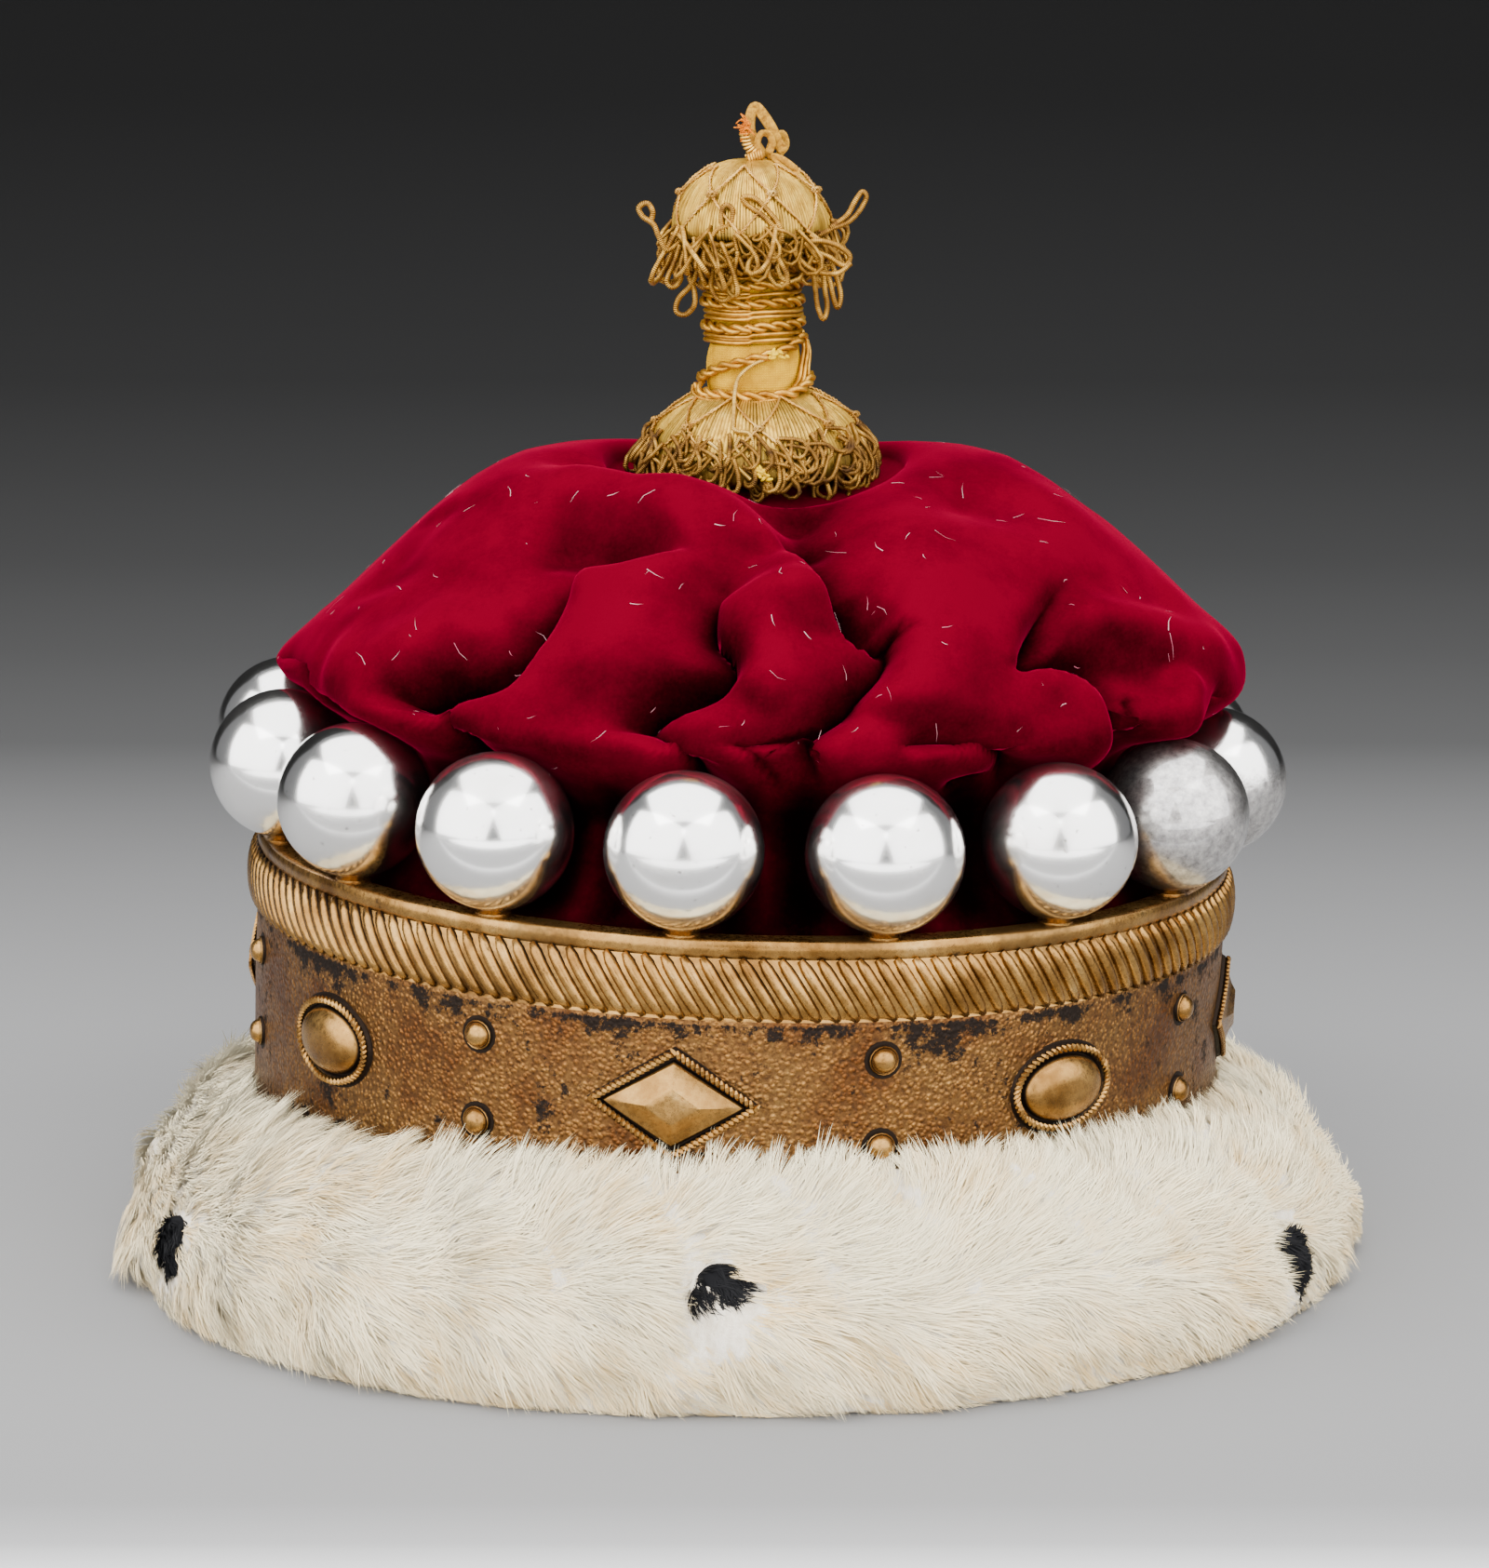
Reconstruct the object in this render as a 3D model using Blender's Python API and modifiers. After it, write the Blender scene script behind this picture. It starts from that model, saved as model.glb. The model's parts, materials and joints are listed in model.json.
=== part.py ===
"""A peer's coronet: gilt circlet with silver balls, crimson velvet cap, gold tassel and a fur border.

Metres, +Z up, +X to the wearer's left as the front is seen, -Y to the front. The origin is on the
surface that the fur border rests on, under its centre.
"""

import math
import random

import bmesh
import bpy
from mathutils import Matrix, Vector

MM = 0.001
GAP = 0.3 * MM

# The crown leans a little to +X on its fur border. Its own frame pivots at the circlet's lower edge.
CROWN_LEAN = math.radians(1.95)
CROWN_SHIFT_X = -2.4 * MM
CROWN_BASE_Z = 25.0 * MM

# Circlet, in the crown's frame
BAND_RADIUS = 95.2 * MM
BAND_WALL = 2.0 * MM
ROPE_RADIUS = 96.6 * MM
ROPE_BOTTOM_Z = 66.8 * MM
ROPE_TOP_Z = 78.2 * MM
LIP_TOP_Z = 81.3 * MM
LIP_INNER_RADIUS = 89.6 * MM
LEDGE_DEPTH = 3.7 * MM
LEDGE_SLOPE = 3.4 * MM
BAND_STEPS = 64

# Balls on the lip and the ornaments below them, all at one pitch
BALL_COUNT = 16
BALL_RADIUS = 14.3 * MM
BALL_RING_RADIUS = 91.5 * MM
BALL_CENTRE_Z = 96.2 * MM
FIRST_BALL_ANGLE = math.radians(-6.85)
BALL_PITCH = 2 * math.pi / BALL_COUNT
POST_RADIUS = 2.4 * MM
POST_ROOT = 1.2 * MM
ORNAMENT_Z = 51.2 * MM
LOZENGE_SIZE = (31.2 * MM, 21.0 * MM)
OVAL_SIZE = (23.6 * MM, 16.7 * MM)
STUD_RADIUS = 2.8 * MM
STUD_HEIGHTS = (43.6 * MM, 59.6 * MM)

# Rings of a medallion from the band outwards: share of its width, share of its height, relief
LOZENGE_RINGS = (
    ("foot", 1.00, 1.00, -1.0),
    ("frame_outside", 1.00, 1.00, 0.5),
    ("frame_crest", 0.955, 0.95, 1.3),
    ("frame_inside", 0.90, 0.89, 0.7),
    ("boss_foot", 0.82, 0.77, 0.6),
    ("boss_edge", 0.76, 0.70, 1.6),
    ("facet", 0.30, 0.33, 3.1),
)
OVAL_RINGS = (
    ("foot", 1.00, 1.00, -1.0),
    ("frame_outside", 1.00, 1.00, 0.5),
    ("frame_crest", 0.95, 0.94, 1.3),
    ("frame_inside", 0.88, 0.85, 0.5),
    ("boss_foot", 0.82, 0.77, 0.5),
    ("boss_edge", 0.74, 0.68, 1.9),
    ("boss_crown", 0.40, 0.36, 3.4),
)
STUD_RINGS = (
    ("foot", 1.0, 1.0, -1.0),
    ("edge", 1.0, 1.0, 0.7),
    ("crown", 0.60, 0.60, 2.1),
)

# Velvet cap, in the crown's frame. Each row is one station of the meridian, in mm:
# share of the way from the top to the hem, then radius and height at the left, front, right and back
CAP_WALL = 2.0 * MM
CAP_STATIONS = (
    ("seat_middle", 0.00, 1.5, 150.2, 1.5, 150.3, 1.5, 150.4, 1.5, 150.3),
    ("seat_edge", 0.14, 26.0, 148.8, 25.5, 149.6, 26.0, 151.6, 26.0, 150.2),
    ("ruffle", 0.19, 31.5, 154.8, 31.0, 149.6, 31.5, 157.0, 31.0, 152.5),
    ("shoulder", 0.30, 46.5, 154.0, 46.0, 146.0, 48.5, 156.4, 47.0, 150.5),
    ("slope", 0.44, 65.0, 141.8, 63.0, 137.0, 69.0, 143.8, 67.0, 140.0),
    ("lower_slope", 0.56, 79.0, 128.5, 76.0, 125.5, 84.0, 131.0, 80.0, 127.5),
    ("brow", 0.67, 91.0, 117.0, 83.5, 113.5, 97.0, 119.5, 89.0, 116.0),
    ("under_brow", 0.73, 89.5, 112.0, 82.0, 108.6, 93.0, 112.8, 86.5, 110.8),
    ("tuck", 0.79, 79.6, 106.0, 78.0, 103.0, 80.2, 106.4, 79.2, 105.0),
    ("waist", 0.85, 76.0, 96.0, 75.6, 96.0, 76.0, 96.0, 76.0, 96.0),
    ("behind_lip", 0.91, 82.0, 83.0, 82.0, 83.0, 82.0, 83.0, 82.0, 83.0),
    ("inside_band", 0.95, 88.7, 70.0, 88.7, 70.0, 88.7, 70.0, 88.7, 70.0),
    ("hem", 1.00, 88.7, 25.3, 88.7, 25.3, 88.7, 25.3, 88.7, 25.3),
)
CAP_ROWS = (0.0, 0.14, 0.19, 0.245, 0.30, 0.36, 0.42, 0.48, 0.535, 0.59, 0.64, 0.68, 0.73, 0.79,
            0.85, 0.91, 0.95, 1.0)
CAP_FRONT_COLUMNS = 42
CAP_BACK_COLUMNS = 16
CAP_FRONT_SPAN = math.radians(216)
CAP_MERIDIAN = 170.0 * MM

# Folds of the velvet: a start, a middle and an end as azimuth in degrees and share of the meridian,
# then half-width and height in mm (below zero is a crease)
CAP_FOLDS = (
    ("behind_pillow", -76, 0.28, -48, 0.23, -22, 0.21, 9, -3.0),
    ("left_pillow", -64, 0.33, -22, 0.26, 6, 0.43, 14, 5.5),
    ("left_pillow_end", 6, 0.43, 13, 0.50, 10, 0.58, 10, 4.0),
    ("left_crease", -33, 0.44, -32, 0.54, -37, 0.62, 8, -7.0),
    ("left_crease_turn", -37, 0.62, -40, 0.64, -43, 0.66, 7, -5.0),
    ("left_crease_foot", -43, 0.66, -40, 0.70, -38, 0.76, 7, -5.0),
    ("left_belly", -46, 0.58, -50, 0.67, -54, 0.75, 11, 3.0),
    ("left_under", -76, 0.68, -67, 0.73, -56, 0.78, 8, -3.0),
    ("middle_ridge", -25, 0.60, -18, 0.48, -8, 0.37, 11, 3.5),
    ("middle_crease", -8, 0.43, -4, 0.52, -3, 0.58, 7.5, -7.0),
    ("middle_crease_turn", -3, 0.58, -8, 0.61, -12, 0.65, 7, -5.5),
    ("middle_crease_foot", -12, 0.65, -9, 0.70, -6, 0.76, 7, -5.0),
    ("middle_belly", 3, 0.44, 4, 0.53, 2, 0.61, 9, 3.5),
    ("valley", 8, 0.24, 11, 0.36, 19, 0.50, 9, -8.5),
    ("valley_turn", 19, 0.50, 18, 0.57, 12, 0.62, 8, -6.5),
    ("valley_foot", 12, 0.62, 8, 0.67, 8, 0.76, 7.5, -5.5),
    ("pocket", -1, 0.66, 3, 0.70, 8, 0.77, 7, -4.0),
    ("right_ridge", 33, 0.30, 30, 0.44, 24, 0.60, 13, 4.5),
    ("right_swell", 72, 0.38, 56, 0.45, 40, 0.50, 12, 4.0),
    ("right_hollow", 62, 0.48, 46, 0.51, 43, 0.56, 9, -6.5),
    ("right_hollow_foot", 45, 0.56, 57, 0.61, 66, 0.66, 8.5, -4.5),
    ("right_lobe", 37, 0.57, 43, 0.62, 46, 0.70, 9, 4.5),
    ("right_crease", 53, 0.62, 51, 0.68, 52, 0.76, 7.5, -5.5),
    ("slit", 20, 0.67, 27, 0.675, 34, 0.70, 6, -3.5),
    ("slit_roll", 24, 0.71, 31, 0.73, 36, 0.77, 7, 3.0),
    ("right_slope", 74, 0.52, 82, 0.60, 90, 0.66, 12, 2.5),
    ("back_pleat_a", 118, 0.38, 126, 0.50, 122, 0.66, 12, -5.0),
    ("back_pleat_b", 150, 0.38, 146, 0.50, 152, 0.66, 13, 4.0),
    ("back_pleat_c", 180, 0.36, 186, 0.50, 180, 0.66, 12, -5.0),
    ("back_pleat_d", 212, 0.38, 208, 0.50, 214, 0.66, 13, 4.0),
    ("back_pleat_e", 238, 0.38, 244, 0.50, 240, 0.66, 12, -5.0),
)
CAP_FOLD_FADE = (0.17, 0.25, 0.72, 0.81)
CAP_FOLD_SPREAD = 0.75
CAP_GATHERS = 32
CAP_GATHER_DEPTH = 0.8 * MM
CAP_GATHER_FADE = (0.66, 0.76, 0.86, 0.92)
CAP_BALL_CLEARANCE = 1.3 * MM
CAP_BALL_ROWS = (0.5, 0.93)

# Fur border: outer radius and top height against azimuth, in mm
FUR_SIZE = (241.6 * MM, 234.0 * MM)
FUR_INNER_RADIUS = 86.0 * MM
FUR_SHOULDER_RADIUS = 95.8 * MM
FUR_SECTIONS = (
    ("front", 0, 116.0, 39.5),
    ("front_right", 33, 119.5, 38.5),
    ("right_front", 60, 121.5, 35.5),
    ("right", 90, 121.0, 31.0),
    ("right_back", 135, 119.0, 30.0),
    ("back", 180, 117.0, 30.0),
    ("left_back", 225, 118.5, 30.0),
    ("left", 270, 120.5, 31.0),
    ("left_front", 303, 124.5, 35.5),
    ("front_left", 330, 120.5, 38.5),
)
# The outer skin from the circlet to the floor: share of the way out and share of the top height
FUR_SKIN = (
    ("collar", 0.03, 0.97),
    ("top", 0.14, 1.00),
    ("upper", 0.36, 0.89),
    ("side", 0.62, 0.70),
    ("lower", 0.85, 0.46),
    ("bulge", 0.985, 0.22),
    ("foot", 0.985, 0.06),
    ("sole", 0.94, 0.00),
)
FUR_COLUMNS = 80
FUR_LOCKS = 28
FUR_LOCK_RELIEF = 3.0 * MM
FUR_LOCK_SLANT = 5.0
FUR_WAVES = 9
FUR_WAVE_RELIEF = 0.8 * MM
FUR_FIT_RADII = (98.8 * MM, 112.0 * MM)

# Black tails let into the fur: azimuth in degrees, height of the middle in mm
TAILS = (
    ("front", -1, 25.0),
    ("right_front", 58, 15.0),
    ("right_back", 119, 15.0),
    ("back", 179, 15.0),
    ("left_back", 239, 15.0),
    ("left_front", 300, 16.0),
)
TAIL_RADII = (5.2 * MM, 3.2 * MM, 7.4 * MM)
TAIL_SETBACK = 1.6 * MM

# Tassel on the cap's top. It leans back to -X, from a pivot on the seat in the crown's frame
TASSEL_LEAN = math.radians(-3.2)
TASSEL_FOOT = (0.2 * MM, 0.0, 150.9 * MM)
# Turned profiles in the tassel's own frame: radius, height above the seat and depth of the locks, mm
BASE_PROFILE = (
    ("top", 1.0, 17.0, 0.0),
    ("foot_of_neck", 10.2, 16.8, 0.0),
    ("dome_upper", 14.8, 14.6, 0.2),
    ("dome_lower", 19.2, 10.6, 0.3),
    ("fringe_root", 21.4, 7.4, 0.6),
    ("fringe_outside", 23.6, 4.6, 1.0),
    ("fringe_hem", 23.6, 1.0, 1.0),
    ("fringe_inside", 21.0, 0.0, 0.4),
    ("sole", 1.0, 0.0, 0.0),
)
NECK_PROFILE = (
    ("foot", 8.9, 17.3, 0.0),
    ("cloth_top", 8.9, 26.0, 0.0),
    ("under_cord", 7.7, 26.4, 0.0),
    ("head_end", 7.7, 48.4, 0.0),
)
HEAD_PROFILE = (
    ("top", 1.0, 61.4, 0.0),
    ("crown", 6.5, 60.4, 0.0),
    ("dome_upper", 11.6, 57.2, 0.2),
    ("dome_lower", 14.6, 52.0, 0.3),
    ("fringe_root", 16.6, 49.6, 0.8),
    ("fringe_outside", 18.8, 44.0, 1.8),
    ("fringe_lower", 17.0, 37.5, 1.8),
    ("fringe_hem", 14.2, 34.0, 1.2),
    ("fringe_inside", 11.4, 36.0, 0.3),
    ("hollow", 10.0, 44.0, 0.0),
    ("hollow_top", 10.0, 48.7, 0.0),
    ("bottom", 1.0, 48.7, 0.0),
)
FINIAL_PROFILE = (
    ("foot", 1.2, 61.7, 0.0),
    ("knot", 3.6, 62.4, 0.6),
    ("lower_loop", 4.6, 65.0, 1.4),
    ("waist", 2.8, 68.6, 0.8),
    ("upper_loop", 3.6, 71.4, 1.2),
    ("tip", 0.8, 74.4, 0.2),
)
WINDING_INNER_RADIUS = 8.0 * MM
WINDING_RADIUS = 9.4 * MM
WINDING_GROOVE = 0.6 * MM
WINDING_SIDES = 14
WINDING_SPAN = (26.8 * MM, 42.4 * MM)
WINDING_TURNS = 12


def clear_scene():
    for thing in list(bpy.data.objects):
        bpy.data.objects.remove(thing, do_unlink=True)


def new_collection(name):
    collection = bpy.data.collections.new(name)
    bpy.context.scene.collection.children.link(collection)
    return collection


def new_material(name, colour, roughness, metallic):
    material = bpy.data.materials.new(name)
    material.use_nodes = True
    shader = material.node_tree.nodes["Principled BSDF"]
    shader.inputs["Base Color"].default_value = (*colour, 1.0)
    shader.inputs["Roughness"].default_value = roughness
    shader.inputs["Metallic"].default_value = metallic
    material.diffuse_color = (*colour, 1.0)
    return material


def new_empty(name, collection, location, lean=0.0, parent=None):
    empty = bpy.data.objects.new(name, None)
    empty.location = location
    empty.rotation_euler = (0.0, lean, 0.0)
    empty.parent = parent
    collection.objects.link(empty)
    return empty


def mesh_object(name, bm, collection, material, parent=None, smooth_degrees=40):
    """Turn a bmesh into an object with outward faces, smooth shading and a material."""
    bmesh.ops.recalc_face_normals(bm, faces=bm.faces)
    mesh = bpy.data.meshes.new(name)
    bm.to_mesh(mesh)
    bm.free()
    mesh.shade_smooth()
    mesh.set_sharp_from_angle(angle=math.radians(smooth_degrees))
    mesh.materials.append(material)
    thing = bpy.data.objects.new(name, mesh)
    thing.parent = parent
    collection.objects.link(thing)
    return thing


def as_cutter(thing):
    thing.hide_render = True
    thing.display_type = "WIRE"


def add_boolean(thing, other, operation):
    modifier = thing.modifiers.new(f"{operation.lower()} {other.name}", "BOOLEAN")
    modifier.operation = operation
    modifier.solver = "EXACT"
    modifier.object = other


def bridge_rings(bm, rings):
    """Join neighbouring closed rings of vertices, all of one length, with quads."""
    for lower, upper in zip(rings, rings[1:]):
        count = len(lower)
        for index in range(count):
            following = (index + 1) % count
            bm.faces.new((lower[index], lower[following], upper[following], upper[index]))


def smooth_step(low, high, value):
    share = min(max((value - low) / (high - low), 0.0), 1.0)
    return share * share * (3.0 - 2.0 * share)


def cubic(before, start, end, after, share):
    """Catmull-Rom value between start and end."""
    square = share * share
    cube = square * share
    return 0.5 * (2 * start + (end - before) * share
                  + (2 * before - 5 * start + 4 * end - after) * square
                  + (3 * start - before - 3 * end + after) * cube)


def polar(radius, azimuth, height):
    """A point at an azimuth counted from the front, -Y, towards +X."""
    return Vector((radius * math.sin(azimuth), -radius * math.cos(azimuth), height))


def ball_azimuth(index):
    return FIRST_BALL_ANGLE + index * BALL_PITCH


def ball_centres():
    return [polar(BALL_RING_RADIUS, ball_azimuth(index), BALL_CENTRE_Z) for index in range(BALL_COUNT)]


def crown_plane_height(x, height):
    """World height, at a world x, of a level plane of the leaning crown."""
    across = (x - CROWN_SHIFT_X) * math.tan(CROWN_LEAN)
    return CROWN_BASE_Z + (height - CROWN_BASE_Z) / math.cos(CROWN_LEAN) - across


def turned_solid(name, profile, sides, lobes, collection, material, parent, seed=0, twist=0.0):
    """A closed turned solid whose rings carry lobes, the locks of a fringe or the loops of a ribbon."""
    chance = random.Random(seed)
    length = [chance.uniform(0.55, 1.0) for _ in range(lobes)] if lobes else []
    bm = bmesh.new()
    rings = []
    for row, (_, radius, height, relief) in enumerate(profile):
        ring = []
        for index in range(sides):
            azimuth = 2 * math.pi * index / sides
            swell = 0.0
            if lobes:
                phase = (index * lobes / sides + twist * row) % lobes
                swell = relief * length[int(phase)] * math.sin(math.pi * (phase % 1.0))
            ring.append(bm.verts.new(polar((radius + swell) * MM, azimuth, height * MM)))
        rings.append(ring)
    bridge_rings(bm, rings)
    bm.faces.new(rings[0])
    bm.faces.new(rings[-1])
    return mesh_object(name, bm, collection, material, parent)


def circlet_profile():
    """Closed section of the circlet: band, rope moulding, lip and the ledge that carries the balls."""
    rope_middle = (ROPE_BOTTOM_Z + ROPE_TOP_Z) / 2
    rope_half = (ROPE_TOP_Z - ROPE_BOTTOM_Z) / 2
    inner = BAND_RADIUS - BAND_WALL
    section = [(LIP_INNER_RADIUS, LIP_TOP_Z), (BAND_RADIUS, LIP_TOP_Z), (BAND_RADIUS, ROPE_TOP_Z)]
    for degrees in (55, 20, -20, -55):
        angle = math.radians(degrees)
        bulge = (ROPE_RADIUS - BAND_RADIUS) * math.cos(angle)
        section.append((BAND_RADIUS + bulge, rope_middle + rope_half * math.sin(angle)))
    section += [(BAND_RADIUS, ROPE_BOTTOM_Z), (BAND_RADIUS, CROWN_BASE_Z), (inner, CROWN_BASE_Z)]
    ledge = LIP_TOP_Z - LEDGE_DEPTH
    section += [(inner, ledge - LEDGE_SLOPE), (LIP_INNER_RADIUS, ledge)]
    return section


def make_band(collection, material, parent):
    """The circlet's turned body, screwed from its section."""
    mesh = bpy.data.meshes.new("circlet")
    section = circlet_profile()
    edges = [(index, (index + 1) % len(section)) for index in range(len(section))]
    mesh.from_pydata([(radius, 0.0, height) for radius, height in section], edges, [])
    mesh.materials.append(material)
    band = bpy.data.objects.new("circlet", mesh)
    band.parent = parent
    collection.objects.link(band)
    screw = band.modifiers.new("turn", "SCREW")
    screw.axis = "Z"
    screw.steps = BAND_STEPS
    screw.render_steps = BAND_STEPS
    screw.use_merge_vertices = True
    screw.merge_threshold = 0.00005
    screw.use_normal_calculate = True
    return band


def lozenge_outline(per_side=3):
    """Unit diamond, with a few points on each side so that it can bend round the band."""
    corners = ((1.0, 0.0), (0.0, 1.0), (-1.0, 0.0), (0.0, -1.0))
    points = []
    for index, start in enumerate(corners):
        end = corners[(index + 1) % 4]
        for step in range(per_side):
            share = step / per_side
            points.append((start[0] * (1 - share) + end[0] * share, start[1] * (1 - share) + end[1] * share))
    return points


def round_outline(count):
    angles = [2 * math.pi * step / count for step in range(count)]
    return [(math.cos(angle), math.sin(angle)) for angle in angles]


def add_medallion(bm, outline, rings, width, height, azimuth, middle_z):
    """A stepped relief, bent round the band: one ring of vertices for each row of its table."""
    rows = []
    for _, width_share, height_share, relief in rings:
        row = []
        for across, up in outline:
            angle = azimuth + across * width_share * width / 2 / BAND_RADIUS
            level = middle_z + up * height_share * height / 2
            row.append(bm.verts.new(polar(BAND_RADIUS + relief * MM, angle, level)))
        rows.append(row)
    bridge_rings(bm, rows)
    bm.faces.new(rows[0])
    bm.faces.new(rows[-1])


def make_ornaments(cutters, material, parent):
    """Lozenges and ovals take turns under the balls, with a pair of studs between them."""
    bm = bmesh.new()
    for index in range(BALL_COUNT):
        azimuth = ball_azimuth(index)
        if index % 4 == 0:
            add_medallion(bm, lozenge_outline(), LOZENGE_RINGS, *LOZENGE_SIZE, azimuth, ORNAMENT_Z)
        elif index % 4 == 2:
            add_medallion(bm, round_outline(12), OVAL_RINGS, *OVAL_SIZE, azimuth, ORNAMENT_Z)
        else:
            width = 2 * STUD_RADIUS
            for height in STUD_HEIGHTS:
                add_medallion(bm, round_outline(8), STUD_RINGS, width, width, azimuth, height)
    ornaments = mesh_object("band ornaments", bm, cutters, material, parent)
    as_cutter(ornaments)
    return ornaments


def make_posts(cutters, material, parent):
    """A short post under each ball, sunk in the lip and stopping just below the ball."""
    foot = LIP_TOP_Z - POST_ROOT
    top = BALL_CENTRE_Z - BALL_RADIUS - GAP
    bm = bmesh.new()
    for index in range(BALL_COUNT):
        place = Matrix.Translation(polar(BALL_RING_RADIUS, ball_azimuth(index), (foot + top) / 2))
        bmesh.ops.create_cone(bm, cap_ends=True, segments=6, radius1=POST_RADIUS, radius2=POST_RADIUS,
                              depth=top - foot, matrix=place)
    posts = mesh_object("ball posts", bm, cutters, material, parent)
    as_cutter(posts)
    return posts


def make_circlet(parts, cutters, material, parent):
    band = make_band(parts, material, parent)
    add_boolean(band, make_ornaments(cutters, material, parent), "UNION")
    add_boolean(band, make_posts(cutters, material, parent), "UNION")
    return band


def make_balls(parts, material, parent):
    bm = bmesh.new()
    bmesh.ops.create_uvsphere(bm, u_segments=12, v_segments=7, radius=BALL_RADIUS)
    first = mesh_object("ball_01", bm, parts, material, parent)
    for index, centre in enumerate(ball_centres()):
        ball = first
        if index:
            ball = bpy.data.objects.new(f"ball_{index + 1:02d}", first.data)
            ball.parent = parent
            parts.objects.link(ball)
        ball.location = centre
        ball.rotation_euler = (0.0, 0.0, ball_azimuth(index))


def cap_station(quarter, share):
    """Radius and height of one of the four table meridians, at a share of the way down."""
    rows = [(row[1], row[2 + 2 * quarter], row[3 + 2 * quarter]) for row in CAP_STATIONS]
    last = len(rows) - 2
    index = max(0, min(last, sum(1 for row in rows[1:] if row[0] <= share)))
    before, start, end, after = (rows[max(0, min(len(rows) - 1, index + step))] for step in (-1, 0, 1, 2))
    local = (share - start[0]) / (end[0] - start[0])
    radius = cubic(before[1], start[1], end[1], after[1], local)
    height = cubic(before[2], start[2], end[2], after[2], local)
    return radius, height


def cap_base(azimuth, share):
    """Radius and height of the smooth cap: the four meridians blended round the head."""
    left = max(0.0, -math.sin(azimuth)) ** 2
    right = max(0.0, math.sin(azimuth)) ** 2
    front = max(0.0, math.cos(azimuth)) ** 2
    back = max(0.0, -math.cos(azimuth)) ** 2
    radius = height = 0.0
    for weight, quarter in ((left, 0), (front, 1), (right, 2), (back, 3)):
        if weight > 0.0:
            quarter_radius, quarter_height = cap_station(quarter, share)
            radius += weight * quarter_radius
            height += weight * quarter_height
    return radius * MM, height * MM


def cap_normal(azimuth, share):
    """Outward unit normal of the smooth cap, as parts along the radius and up."""
    step = 0.004
    near = cap_base(azimuth, max(0.0, share - step))
    far = cap_base(azimuth, min(1.0, share + step))
    along = (far[0] - near[0], far[1] - near[1])
    length = math.hypot(*along)
    return -along[1] / length, along[0] / length


def distance_to_line(start, end):
    """Distance from the origin of a plane to the line between two of its points."""
    along = end - start
    way = min(max(-start.dot(along) / along.length_squared, 0.0), 1.0)
    return (start + along * way).length


def fold_height(azimuth, share):
    """Sum of the table's folds at one place of the cap, faded out at its seat and at its waist."""
    radius, _ = cap_base(azimuth, share)
    seat_in, seat_out, waist_in, waist_out = CAP_FOLD_FADE
    fade = smooth_step(seat_in, seat_out, share) * (1.0 - smooth_step(waist_in, waist_out, share))
    if fade <= 0.0:
        return 0.0
    total = 0.0
    for _, az_a, share_a, az_b, share_b, az_c, share_c, half_width, height in CAP_FOLDS:
        route = []
        for az, down in ((az_a, share_a), (az_b, share_b), (az_c, share_c)):
            turn = (math.radians(az) - azimuth + math.pi) % (2 * math.pi) - math.pi
            route.append(Vector((turn * radius, (down - share) * CAP_MERIDIAN)))
        nearest = min(distance_to_line(*leg) for leg in zip(route, route[1:]))
        total += height * MM * math.exp(-(nearest / (half_width * MM * CAP_FOLD_SPREAD)) ** 2)
    return total * fade


def keep_off_balls(point):
    """Push a point of the cloth out of the space of the nearest ball."""
    reach = BALL_RADIUS + CAP_BALL_CLEARANCE
    for centre in ball_centres():
        away = point - centre
        if away.length < reach:
            inward = Vector((-centre.x, -centre.y, 0.6 * BALL_RING_RADIUS))
            away = away if away.dot(inward) > 0 else away + inward.normalized() * reach
            point = centre + away.normalized() * reach
    return point


def cap_point(azimuth, share):
    radius, height = cap_base(azimuth, share)
    out, up = cap_normal(azimuth, share)
    rise = fold_height(azimuth, share)
    start, full, less, end = CAP_GATHER_FADE
    gather = smooth_step(start, full, share) * (1.0 - smooth_step(less, end, share))
    rise -= CAP_GATHER_DEPTH * gather * (0.5 + 0.5 * math.cos(CAP_GATHERS * azimuth))
    point = polar(radius + out * rise, azimuth, height + up * rise)
    return keep_off_balls(point) if CAP_BALL_ROWS[0] < share < CAP_BALL_ROWS[1] else point


def cap_azimuths():
    """Columns of the cap, closer together where the front folds are."""
    half = CAP_FRONT_SPAN / 2
    front = [-half + CAP_FRONT_SPAN * index / CAP_FRONT_COLUMNS for index in range(CAP_FRONT_COLUMNS)]
    rest = 2 * math.pi - CAP_FRONT_SPAN
    back = [half + rest * index / CAP_BACK_COLUMNS for index in range(CAP_BACK_COLUMNS)]
    return front + back


def make_cap(parts, material, parent):
    """The velvet cap: an open crumpled skin, thickened inwards."""
    bm = bmesh.new()
    rings = [[bm.verts.new(cap_point(azimuth, share)) for azimuth in cap_azimuths()] for share in CAP_ROWS]
    bridge_rings(bm, rings)
    bm.faces.new(rings[0])
    cap = mesh_object("velvet_cap", bm, parts, material, parent, smooth_degrees=80)
    for polygon in cap.data.polygons:
        polygon.use_smooth = True
    wall = cap.modifiers.new("cloth", "SOLIDIFY")
    wall.thickness = CAP_WALL
    wall.offset = -1.0
    return cap


def fur_section(azimuth):
    """Outer radius and top height of the fur, blended smoothly between the table's azimuths."""
    degrees = math.degrees(azimuth) % 360
    rows = list(FUR_SECTIONS)
    count = len(rows)
    index = max(place for place, row in enumerate(rows) if row[1] <= degrees)
    start = rows[index]
    end = rows[(index + 1) % count]
    span = (end[1] - start[1]) % 360
    local = (degrees - start[1]) / span
    before = rows[(index - 1) % count]
    after = rows[(index + 2) % count]
    return tuple(cubic(before[column], start[column], end[column], after[column], local) for column in (2, 3))


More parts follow.
